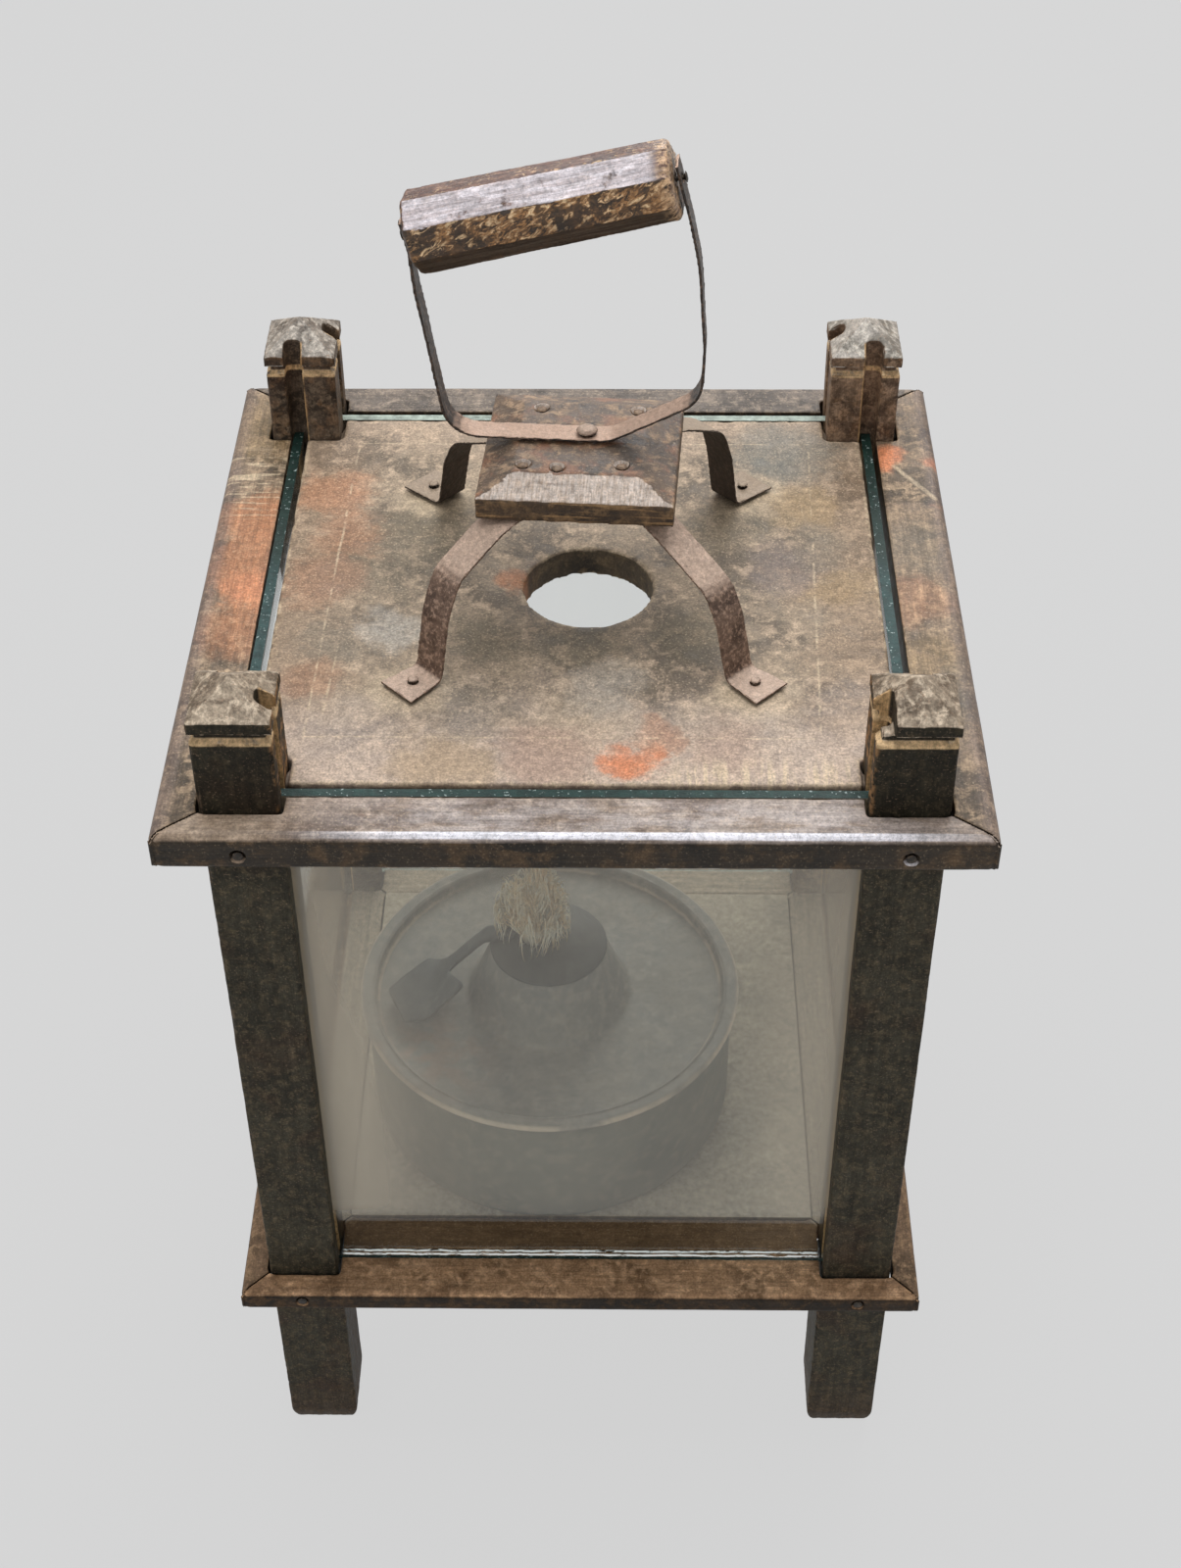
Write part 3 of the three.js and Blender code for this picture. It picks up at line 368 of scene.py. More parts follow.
def dress(target, material, voxel, seed, wear, grain=EVEN, turn=NO_TURN):
    """Gives the object its material and a fine mesh, and wears it by those values."""
    paint(target, material)
    remesh = target.modifiers.new("fine mesh", "REMESH")
    remesh.mode = "VOXEL"
    remesh.voxel_size = voxel
    remesh.use_smooth_shade = True
    values = {"Grain": grain, "Turn": turn, "Seed": (seed * 0.37, seed * 0.21, seed * 0.53),
              "Seam": NO_SEAM, "Seam place": 1.0, **wear}
    add_group(target, weathering, values)


weathering = weather_group()
turning = turning_group()


# Finishes

class Coat(Graph):
    """A material with one Principled shader, coloured by place on the object."""

    def __init__(self, name):
        self.material = bpy.data.materials.new(name)
        self.material.use_nodes = True
        super().__init__(self.material.node_tree)
        coordinates = self.add("ShaderNodeTexCoord").outputs
        self.place = coordinates["Object"]
        self.x, self.y, self.z = self.apart(self.place)
        self.normal = coordinates["Normal"]
        self.facing = self.apart(self.normal)
        self.upward = self.step(self.facing[2], 0.25, 0.6)
        self.shader = self.add("ShaderNodeBsdfPrincipled")
        self.output = self.add("ShaderNodeOutputMaterial", {"Surface": self.shader.outputs[0]})
        self.wear = self.add("ShaderNodeAttribute", attribute_name="wear").outputs["Fac"]

    def mix(self, share, first, second, mode="MIX"):
        node = self.add("ShaderNodeMix", data_type="RGBA", blend_type=mode)
        self.plug(share, node.inputs[0])
        self.plug(first, node.inputs[6])
        self.plug(second, node.inputs[7])
        return node.outputs[2]

    def between(self, value, low, high):
        """A number from low to high as a noise goes through its usual range."""
        return self.out("ShaderNodeMapRange", {0: value, 1: 0.3, 2: 0.7, 3: low, 4: high})

    def tone(self, colour, value, change):
        """The colour made darker or lighter by up to change of itself."""
        grey = self.between(value, 1 - change, 1 + change)
        both = self.out("ShaderNodeCombineXYZ", {0: grey, 1: grey, 2: grey})
        return self.mix(1.0, colour, both, "MULTIPLY")

    def clouds(self, colour, place, marks):
        """Mottled patches: each (colour, X, Y and radius in mm, strength)."""
        ragged = (self.noise(place, 150.0, 5.0, 0.7) - 0.5) * 1.5
        for tint, x, y, radius, strength in marks:
            share = self.spot(place, (x / 1000, y / 1000, 0), radius / 1000, 0.7)
            share = self.step(share + ragged, 0.2, 0.8) * share
            colour = self.mix(share * (0.9 * strength), colour, tint)
        return colour

    def complete(self, colour, roughness, height, depth):
        self.plug(colour, self.shader.inputs["Base Color"])
        self.plug(roughness, self.shader.inputs["Roughness"])
        bump = self.out("ShaderNodeBump", {"Height": height, "Distance": depth, "Strength": 1.0})
        self.plug(bump, self.shader.inputs["Normal"])
        return self.material


def timber(name, grain, side, top, worn, turn=NO_TURN, roughness=0.6, marks=None, bump=0.0004,
           size=1.0, streaks=0.25, flecks=0.5, grit=0.3, side_flecks=0.15, rub=0.5, gloss=0.5):
    """Aged wood: side and top are (dark, middle, light) colours of its upright faces, darkened as
    painted shade, and of the faces that look up, paler with dust and painted light; worn is the
    colour of its rubbed edges."""
    coat = Coat(name)
    place = coat.turned(coat.place, turn) if any(turn) else coat.place
    lengthwise = coat.scaled(place, grain)
    broad = coat.noise(place, 24.0 * size, 4.0, 0.6, 0.6)
    blotch = coat.noise(place, 85.0 * size, 5.0, 0.66, 0.4)
    mottle = coat.noise(place, 340.0, 5.0, 0.7)
    streak = coat.noise(lengthwise, 420.0, 4.0, 0.6)
    fibre = coat.noise(lengthwise, 1700.0, 3.0, 0.6)
    fleck = coat.noise(place, 1100.0, 3.0, 0.65)

    def mottled(colours):
        dark, middle, light = colours
        colour = coat.mix(coat.step(broad, 0.4, 0.56), dark, middle)
        return coat.mix(coat.step(blotch, 0.47, 0.64) * 0.8, colour, light)

    # Painted shade and light with dust: upright faces take the dark side colours, faces that look
    # up the pale top ones
    colour = coat.mix(coat.upward, mottled(side), mottled(top))
    if marks:
        colour = marks(coat, colour)
    rubbed = coat.step(coat.wear, 0.25, 0.85) * coat.step(blotch, 0.4, 0.6)
    colour = coat.mix(rubbed * rub, colour, worn)
    for value, change in ((streak, streaks), (mottle, 0.32), (fibre, 0.6 * streaks),
                          (fleck, grit)):
        colour = coat.tone(colour, value, change)
    speck = coat.step(fleck, 0.6, 0.68) * (coat.upward * (1 - side_flecks) + side_flecks)
    colour = coat.mix(speck * flecks, colour, worn)
    height = (streak + fibre * 0.5) * (2.4 * streaks) + (blotch * 0.3 + mottle * 0.5)
    rough = coat.between(blotch, roughness - 0.12, roughness + 0.12)
    coat.shader.inputs["Specular IOR Level"].default_value = gloss
    return coat.complete(colour, rough, height, bump)


def iron(name, colours, dusty, metallic=0.1, roughness=0.6, scale=1.0, depth=0.0003, dust=0.8,
         grit=0.25, marks=None, pits=0.4):
    """Rusted iron of (dark, middle, light) colours: pitted, pale with dust where it looks up
    and darkened with painted shade where it looks down."""
    coat = Coat(name)
    dark, middle, light = colours
    patch = coat.noise(coat.place, 110.0 * scale, 5.0, 0.65, 0.5)
    pit = coat.noise(coat.place, 520.0 * scale, 5.0, 0.7)
    fleck = coat.noise(coat.place, 1500.0 * scale, 2.0, 0.6)
    colour = coat.mix(coat.step(patch, 0.36, 0.6), dark, middle)
    colour = coat.mix(coat.step(pit, 0.48, 0.64) * 0.85, colour, light)
    level = coat.step(coat.facing[2], 0.55, 0.97)
    settled = level * coat.step(pit, pits - 0.1, pits + 0.1)
    colour = coat.mix(settled * dust, colour, dusty)
    # Painted shade on the faces that look down
    under = coat.fall(coat.facing[2], -0.65, -0.1)
    colour = coat.mix(under * 0.75, colour, srgb(34, 27, 21))
    if marks:
        colour = marks(coat, colour)
    colour = coat.tone(colour, pit, grit)
    colour = coat.tone(colour, fleck, grit)
    coat.shader.inputs["Metallic"].default_value = metallic
    rough = coat.between(patch, roughness - 0.1, roughness + 0.12)
    return coat.complete(colour, rough, pit + fleck * 0.3, depth)


GREY = srgb(116, 107, 92)
SLATE = srgb(112, 112, 104)
OLIVE = srgb(92, 82, 62)
OCHRE = srgb(162, 134, 92)
ORANGE = srgb(178, 120, 82)
CORAL = srgb(208, 132, 92)
PINK = srgb(168, 138, 120)
PURPLE = srgb(120, 104, 98)
CREAM = srgb(214, 192, 160)
PALE = srgb(198, 176, 146)
ASH = srgb(172, 164, 152)


def post_marks(coat, colour):
    """Bare golden wood in the glass grooves, paled further as painted light in their shade, and
    on the sides beside them; pale ledges with dust and a painted highlight; painted shade on
    the front posts' shafts above the frame and on the caps' left and right slopes; paler feet."""
    x, y, z = coat.x, coat.y, coat.z
    level = 1 - coat.upward
    near = coat.fall(y, -0.01, 0.01)
    red = coat.step(coat.noise(coat.place, 30.0, 4.0), 0.5, 0.68) * level
    colour = coat.mix(red * 0.3, colour, srgb(74, 46, 32))
    # Painted shade: the front posts' upright faces above the frame darkened towards black
    above = coat.step(z, FRAME_TOP - 0.004, FRAME_TOP + 0.002)
    colour = coat.mix(above * level * near * 0.5, colour, srgb(18, 14, 9))
    foot = coat.fall(z, 0.0, 0.045) * level
    colour = coat.mix(foot * 0.4, colour, srgb(92, 70, 56))
    # Painted shade on the cap slopes that face left and right
    slope = coat.step(abs(coat.facing[0]), 0.25, 0.4) * coat.upward
    colour = coat.mix(slope * 0.35, colour, srgb(96, 78, 58))

    def groove(across, inward):
        strip = coat.fall(abs(abs(across) - SLOT_LINE), 0.0031, 0.0038)
        return strip * coat.fall(abs(inward), POST_INNER + 0.0060, POST_INNER + 0.0072)

    patchy = coat.noise(coat.place, 170.0, 5.0, 0.7)
    # Bare wood in the grooves, paled further as painted light against the shade in them
    bare = coat.most(groove(x, y), groove(y, x)) * coat.step(patchy, 0.25, 0.5)
    bare = bare * coat.step(z, BASE_TOP - 0.003, BASE_TOP)
    colour = coat.mix(bare * 0.95, colour, srgb(206, 168, 120))

    inner = coat.math("MINIMUM", abs(x), abs(y))
    beside = coat.fall(inner, POST_INNER + 0.0005, POST_INNER + 0.0035) * above * level
    gold = beside * coat.step(patchy, 0.46, 0.6)
    colour = coat.mix(gold * (near * 0.6 + 0.2), colour, srgb(188, 140, 92))
    # Pale ledge at the shoulder: dust, with a painted highlight on its lit top
    ledge = coat.band(z, POST_SHOULDER - 0.0018, POST_SHOULDER + 0.0006, 0.0004)
    ledge = ledge * coat.step(patchy, 0.3, 0.5)
    return coat.mix(ledge * 0.95, colour, srgb(222, 188, 142))


# Patches of colour: X, Y and radius in mm, and strength
ROOF_CLOUDS = [
    (SLATE, 83, 94, 26, 0.75),
    (OCHRE, 91, 51, 16, 0.6),
    (PURPLE, 81, 11, 18, 0.6),
    (GREY, 97, 24, 14, 0.5),
    (OCHRE, 104, -2, 14, 0.5),
    (OLIVE, -80, 20, 32, 0.5),
    (PALE, -4, -82, 22, 0.35),
    (OLIVE, 0, -34, 20, 0.65),
    (OLIVE, -36, -36, 18, 0.75),
    (OLIVE, 41, -32, 18, 0.75),
    (OLIVE, -58, 44, 22, 0.6),
    (OLIVE, 60, 42, 20, 0.6),
    (GREY, -97, 3, 14, 0.7),
    (GREY, -95, -34, 13, 0.6),
    (ASH, -72, -28, 14, 0.75),
    (ASH, 11, -63, 17, 0.5),
    (GREY, -40, -78, 18, 0.4),
    (PINK, -10, -102, 20, 0.7),
    (PINK, 54, -100, 16, 0.5),
    (OCHRE, -49, -108, 20, 0.5),
    (ORANGE, -103, 64, 17, 0.6),
    (ORANGE, -94, 36, 17, 0.45),
    (ORANGE, -101, 4, 18, 0.4),
    (ORANGE, -98, -58, 13, 0.3),
    (ORANGE, -24, 5, 9, 1.0),
    (CORAL, 21, -104, 11, 1.1),
    (ORANGE, 30, -92, 10, 0.5),
    (CREAM, -62, -64, 16, 0.45),
    (CREAM, 67, -67, 16, 0.45),
    (CREAM, -60, 61, 16, 0.45),
    (CREAM, 70, 62, 16, 0.45),
]
ROOF_SCRIBED = [
    ((-0.0948, 0.108, 0), (-0.1000, -0.095, 0)),
    ((-0.0918, -0.040, 0), (-0.0946, -0.089, 0)),
    ((0.0957, 0.094, 0), (0.0896, -0.091, 0)),
    ((-0.1000, -0.0925, 0), (0.0900, -0.0925, 0)),
    ((-0.0960, 0.0996, 0), (0.0960, 0.0996, 0)),
]
RAIL_CLOUDS = [
    (ORANGE, -129, 45, 22, 0.9),
    (ORANGE, -128, 10, 24, 0.8),
    (CORAL, -127, 0, 14, 0.5),
    (ORANGE, -129, -26, 20, 0.6),
    (OCHRE, -134, 112, 26, 0.5),
    (CORAL, 127.5, 90, 9.5, 1.1),
    (CORAL, 148, 85, 6.5, 1.1),
    (CORAL, 148, 60, 5, 0.9),
    (ORANGE, 131, -10, 16, 0.35),
    (OCHRE, 133, -50, 18, 0.4),
    (GREY, 136, 26, 20, 0.5),
    (GREY, 143, -70, 18, 0.6),
]


def roof_marks(coat, colour):
    """Soft clouds, orange stains, brushed cream streaks, scribed lines and dark edges."""
    x, y = coat.x, coat.y
    flat = coat.scaled(coat.place, (1, 1, 0))
    drift = (coat.noise(flat, 40.0, 4.0, 0.6) - 0.5) * 0.07
    outer = coat.step(abs(y) + drift, 0.082, 0.112)
    colour = coat.mix(outer * 0.45, colour, srgb(196, 170, 146))
    sides = coat.step(abs(x) + drift, 0.078, 0.106) * (1 - outer)
    colour = coat.mix(sides * 0.4, colour, srgb(134, 106, 80))
    near = coat.fall(y + drift, -0.100, -0.050)
    colour = coat.mix(near * 0.4, colour, srgb(210, 190, 176))
    colour = coat.clouds(colour, coat.warped(flat, 0.034, 38.0), ROOF_CLOUDS)

    brush = coat.noise(coat.scaled(flat, (1, 0.1, 1)), 420.0, 3.0, 0.6)
    brushed = coat.fall(y, -0.113, -0.100) * coat.step(x + drift, 0.026, 0.042)
    streaks = brushed * coat.step(brush, 0.46, 0.6)
    colour = coat.mix(streaks * 0.75, colour, CREAM)

    wandering = coat.warped(flat, 0.0022, 22.0)
    broken = coat.step(coat.noise(flat, 130.0, 4.0, 0.6), 0.4, 0.58)
    for start, end in ROOF_SCRIBED:
        line = coat.stroke(wandering, start, end, 0.0007) * broken
        colour = coat.mix(line * 0.5, colour, CREAM)
    ragged = coat.noise(flat, 210.0, 4.0, 0.6) * 0.0022
    from_heart = coat.most(abs(x), abs(y))
    dark_edge = coat.step(from_heart + ragged, ROOF_EDGE - 0.0006, ROOF_EDGE + 0.0002)
    return coat.mix(dark_edge * 0.35, colour, srgb(66, 54, 38))


def rail_marks(coat, colour):
    """Orange where the brown coat has gone, on the left and right rails of the top frame, and
    scratches across them."""
    flat = coat.scaled(coat.place, (1, 1, 0))
    painted = coat.clouds(colour, coat.warped(flat, 0.03, 34.0), RAIL_CLOUDS)
    colour = coat.mix(coat.upward, colour, painted)
    outer = coat.step(abs(coat.x), FRAME_SIDE - 0.009, FRAME_SIDE - 0.003)
    colour = coat.mix(outer * coat.upward * 0.5, colour, PURPLE)
    scratch = coat.noise(coat.scaled(flat, (0.08, 1, 1)), 480.0, 3.0, 0.6)
    scratched = coat.band(coat.y, 0.048, 0.092, 0.008) * coat.fall(coat.x, 0, 0.01)
    scratched = scratched * coat.step(scratch, 0.53, 0.6)
    colour = coat.mix(scratched * 0.7, colour, CREAM)
    cut = coat.stroke(coat.warped(flat, 0.002, 60.0), (0.131, 0.084, 0),
                      (0.146, 0.060, 0), 0.0016)
    return coat.mix(cut * 0.5, colour, CREAM)


def base_marks(coat, colour):
    """Ledge inside the glass: dark brown along the front and dusty on the other sides."""
    across = abs(coat.x)
    inside = coat.fall(coat.most(across, abs(coat.y)), PANE_INNER - 0.002, PANE_INNER)
    front = coat.fall(coat.y + across, -0.003, 0.0)
    ledge = coat.mix(front, srgb(164, 151, 130), srgb(96, 76, 54))
    return coat.mix(inside * coat.upward * 0.85, colour, ledge)


def rim_marks(coat, colour):
    """Rust on the lid, and pale tan lines round its rolled edge and inside it: a painted highlight
    on rubbed metal.
    """
    flat = coat.scaled(coat.place, (1, 1, 0))
    out = coat.vector("DISTANCE", flat, (LAMP_MIDDLE.x, LAMP_MIDDLE.y, 0))
    rust = coat.spot(flat, (LAMP_MIDDLE.x - 0.050, LAMP_MIDDLE.y - 0.040, 0), 0.022, 0.8)
    rust = rust * coat.step(coat.noise(coat.place, 90.0, 4.0), 0.42, 0.6)
    colour = coat.mix(rust * 0.5, colour, srgb(168, 132, 108))
    # Painted highlight on rubbed metal: pale lines round the rolled edge and inside it
    edge = coat.step(out, LID_RADIUS - 0.0022, LID_RADIUS - 0.0008)
    inner = coat.band(out, LID_RADIUS - 0.0092, LID_RADIUS - 0.0080, 0.0005)
    broken = coat.step(coat.noise(coat.place, 40.0, 4.0), 0.3, 0.6)
    return coat.mix(coat.most(edge, inner * 0.7) * broken, colour, srgb(214, 194, 168))


def strap_marks(coat, colour):
    """Darker legs at the back, painted shade of the block with tarnish, and their feet grey with
    the roof's dust.
    """
    # Painted shade of the block over the back legs, with tarnish
    back = coat.step(coat.y, 0.0, 0.012)
    level = coat.step(coat.facing[2], 0.6, 0.9)
    colour = coat.mix(back * (1 - level) * 0.85, colour, srgb(38, 31, 23))
    return coat.mix(back * level * 0.8, colour, srgb(144, 127, 106))


def front_rail_marks(coat, colour):
    """Grey bloom along the front of the top frame, a near-white painted highlight on its rounded
    front edge, and tan at its left end."""
    bloom = coat.noise(coat.scaled(coat.place, (0.3, 1, 1)), 130.0, 4.0, 0.65)
    front = coat.fall(coat.y, FRAME_FRONT + 0.012, FRAME_FRONT + 0.030)
    middle = coat.band(coat.x, -0.075, 0.125, 0.035)
    share = front * middle * coat.step(bloom, 0.35, 0.6)
    colour = coat.mix(share * coat.upward * 0.6, colour, srgb(192, 182, 178))
    # Painted highlight: near white along the rounded front edge
    arris = coat.band(coat.facing[1], -0.80, -0.22, 0.06) * middle * coat.upward
    colour = coat.mix(arris * front, colour, srgb(246, 244, 250))
    tan = front * coat.fall(coat.x, -0.12, -0.09)
    return coat.mix(tan * coat.upward * 0.5, colour, srgb(182, 158, 132))


def block_marks(coat, colour):
    """Streaks down the front bevel of the handle's block, red-brown on its top, and gold in
    its front face."""
    place = coat.turned(coat.place, BLOCK_TURN)
    slope = coat.fall(coat.facing[2], 0.93, 0.975) * coat.upward
    slope = slope * coat.fall(coat.facing[1], -0.3, -0.1)
    run = coat.noise(coat.scaled(place, (1, 0.12, 0.12)), 1300.0, 4.0, 0.7)
    streaked = coat.mix(coat.step(run, 0.36, 0.62), srgb(190, 169, 151), srgb(232, 217, 205))
    reach = coat.step(coat.noise(place, 120.0, 4.0, 0.7) + slope, 0.98, 1.42)
    colour = coat.mix(reach * 0.85, colour, streaked)
    warm = coat.step(coat.noise(place, 60.0, 4.0, 0.65), 0.5, 0.62) * coat.upward
    colour = coat.mix(warm * (1 - slope) * 0.6, colour, srgb(150, 100, 70))
    layer = coat.noise(coat.scaled(place, (0.05, 1, 1)), 700.0, 4.0, 0.65)
    gold = (1 - coat.upward) * coat.step(layer, 0.52, 0.64)
    return coat.mix(gold * 0.8, colour, srgb(164, 130, 88))


def grip_marks(coat, colour):
    """A grey flat with a painted highlight, gold flakes on the flats below it and old red-brown
    above it.
    """
    place = coat.turned(coat.place, GRIP_TURN)
    normal = coat.turned(coat.normal, GRIP_TURN)

    def flat_at(degrees):
        """Share of the grip's flat whose face looks that high above level, to the front."""
        way = (0, -math.cos(math.radians(degrees)), math.sin(math.radians(degrees)))
        return coat.step(coat.vector("DOT_PRODUCT", normal, way), 0.87, 0.95)

    slanted = coat.turned(place, (0.0, 0.45, 0.0))
    patch = coat.noise(place, 110.0, 4.0, 0.65)
    flake = coat.noise(coat.scaled(slanted, (0.4, 1, 1)), 520.0, 5.0, 0.75, 0.8)
    scratch = coat.noise(coat.scaled(place, (0.12, 1, 1)), 560.0, 3.0, 0.6, 0.6)
    gold = coat.mix(coat.step(flake, 0.52, 0.64), srgb(168, 122, 76), srgb(244, 210, 164))
    front = flat_at(7)
    colour = coat.mix(front * 0.6, colour, srgb(58, 45, 28))
    # Painted shade on the faces that look down
    under = coat.fall(coat.facing[2], -0.5, -0.15)
    colour = coat.mix(under * 0.85, colour, srgb(34, 27, 18))
    bare = coat.step(flake + patch * 0.5, 0.72, 0.80)
    colour = coat.mix(bare * front * 0.95, colour, gold)
    few = coat.step(flake + patch * 0.3, 0.70, 0.78) * (1 - under)
    colour = coat.mix(few * 0.6, colour, gold)
    x = coat.apart(place)[0]
    # Painted highlight on the grey flat that looks 52 degrees up to the front
    painted_highlight = coat.mix(coat.step(scratch, 0.4, 0.65), srgb(204, 193, 195),
                        srgb(242, 235, 240))
    share = flat_at(52) * coat.step(patch, 0.3, 0.42)
    share = share * coat.fall(x, GRIP_END - 0.009, GRIP_END - 0.003)
    colour = coat.mix(share * 0.85, colour, painted_highlight)
    end = coat.step(x, GRIP_END - 0.007, GRIP_END - 0.002) * coat.step(flake, 0.42, 0.56)
    return coat.mix(end * 0.7, colour, srgb(236, 196, 154))


def dusty_pane(coat, film):
    """Clear glass under a film of dust."""
    clear = {"Base Color": (0.97, 0.99, 0.98, 1), "Roughness": 0.02, "Transmission Weight": 1.0,
             "IOR": 1.5}
    for name, value in clear.items():
        coat.shader.inputs[name].default_value = value
    dust = coat.out("ShaderNodeBsdfDiffuse", {"Color": srgb(212, 200, 180)})
    return coat.blend(film, coat.shader.outputs[0], dust)


def cut_edge(coat, tint, chip):
    """Opaque coloured edge of a pane."""
    bump = coat.out("ShaderNodeBump", {"Height": chip, "Distance": 0.0006})
    return coat.out("ShaderNodeBsdfPrincipled", {
        "Base Color": tint, "Roughness": 0.5, "Specular IOR Level": 0.25, "Normal": bump})


def glass(name, thin, edge_tones, dust, haze):
    """Old thick glass. thin is the axis across the pane, edge_tones are the colours of its cut
    edge at the back and at the front of the lantern, dust is the share of its film, and haze
    what is added to it towards the pane's sides and top."""
    coat = Coat(name)
    x, y, z = coat.x, coat.y, coat.z
    drift = coat.noise(coat.place, 9.0, 4.0, 0.6, 0.5)
    smear = coat.noise(coat.scaled(coat.place, (1, 1, 0.3)), 60.0, 4.0, 0.6)
    film = (drift * smear * 2.0 + 0.5) * dust
    sides = coat.step(abs(x), 0.06, 0.11)
    high = coat.step(z, 0.28, 0.37) * 0.22
    low = coat.fall(x, -0.09, -0.03) * coat.fall(z, 0.2, 0.32)
    film = film + (coat.most(sides, high) + low * 0.55) * haze
    film = film * coat.step(z, BASE_TOP + 0.022, BASE_TOP + 0.036)

    chip = coat.noise(coat.place, 260.0, 4.0, 0.65)
    fleck = coat.noise(coat.place, 700.0, 3.0)
    back, front = edge_tones
    tint = coat.mix(coat.step(y + chip * 0.03, 0.04, 0.02), back, front)
    tint = coat.tone(tint, chip, 0.45)
    tint = coat.mix(coat.step(fleck, 0.64, 0.7) * 0.6, tint, srgb(190, 206, 202))
    rim = coat.fall(abs(coat.facing["XYZ".index(thin)]), 0.6, 0.85)
    body = coat.blend(rim, dusty_pane(coat, film), cut_edge(coat, tint, chip))

    # Painted glint: broken white chips along the pane's foot, glowing a little by emission
    rise = coat.noise(coat.place, 90.0, 4.0, 0.7) * 0.0024
    foot = coat.band(z - rise, BASE_TOP - 0.0010, BASE_TOP + 0.0004, 0.0002)
    foot = foot * coat.fall(abs(x), 0.101, 0.103)
    chipped = coat.noise(coat.scaled(coat.place, (0.35, 0.35, 1)), 420.0, 4.0, 0.7)
    broken = foot * coat.step(chipped, 0.38, 0.46)
    flake = coat.out("ShaderNodeBsdfPrincipled", {
        "Base Color": srgb(240, 246, 244), "Roughness": 0.25,
        "Emission Color": srgb(236, 244, 242), "Emission Strength": 0.35})
    body = coat.blend(broken, body, flake)
    shade = coat.out("ShaderNodeBsdfTransparent", {"Color": (0.95, 0.97, 0.96, 1)})
    path = coat.add("ShaderNodeLightPath").outputs
    passing = coat.most(path["Is Shadow Ray"], path["Is Diffuse Ray"]) * (1 - rim)
    coat.plug(coat.blend(passing, body, shade), coat.output.inputs["Surface"])
    return coat.material


def tow_finish():
    """Pale tow, darker where it comes out of the cap."""
    coat = Coat("tow fibre")
    tint = coat.noise(coat.place, 160.0, 3.0)
    fine = coat.noise(coat.scaled(coat.place, ALONG_Z), 1500.0, 2.0)
    colour = coat.mix(coat.step(tint, 0.35, 0.65), srgb(250, 222, 176), srgb(255, 248, 226))
    burnt = coat.fall(coat.z, CAP_TOP - 0.002, CAP_TOP + 0.006)
    colour = coat.mix(burnt * 0.5, colour, srgb(86, 76, 64))
    return coat.complete(coat.tone(colour, fine, 0.15), 0.9, fine, 0.0003)


# Colours of each wood: dark, middle, light
POST_DARK = tones((51, 48, 38), (65, 61, 49), (93, 83, 65))
POST_BACK_LEFT = tones((62, 54, 46), (90, 79, 68), (124, 109, 92))
POST_BACK_RIGHT = tones((100, 83, 69), (142, 119, 99), (178, 151, 126))
POST_TOP = tones((116, 102, 87), (172, 156, 136), (228, 209, 184))
POST_TOP_GREY = tones((110, 102, 94), (164, 156, 146), (222, 212, 198))
POST_TOP_PALE = tones((146, 140, 130), (198, 190, 180), (236, 228, 214))
RAIL_SIDE = tones((34, 28, 19), (52, 42, 30), (92, 72, 50))
FRONT_TOP = tones((106, 88, 75), (144, 126, 111), (184, 166, 150))
SIDE_TOP = tones((88, 74, 58), (132, 112, 91), (180, 155, 127))
BACK_TOP = tones((74, 64, 55), (108, 96, 85), (150, 135, 120))
BASE_SIDE = tones((36, 28, 19), (54, 42, 30), (84, 64, 44))
BASE_TOPS = tones((126, 97, 70), (164, 129, 96), (198, 160, 124))
BASE_SIDE_TOPS = tones((96, 76, 56), (130, 104, 80), (164, 134, 104))
ROOF_SIDE = tones((54, 44, 32), (84, 70, 52), (120, 100, 74))
ROOF_FACE = tones((104, 90, 73), (145, 127, 105), (190, 167, 142))
FLOOR_FACE = tones((160, 148, 128), (174, 160, 138), (190, 176, 152))
BLOCK_SIDE = tones((44, 33, 23), (76, 59, 42), (130, 103, 72))
BLOCK_TOP = tones((60, 47, 36), (98, 77, 58), (164, 136, 108))
GRIP_SIDE = tones((52, 36, 28), (86, 60, 45), (144, 106, 72))
GRIP_TOP = tones((66, 42, 36), (92, 63, 53), (128, 96, 80))
WORN_POST = srgb(176, 146, 122)


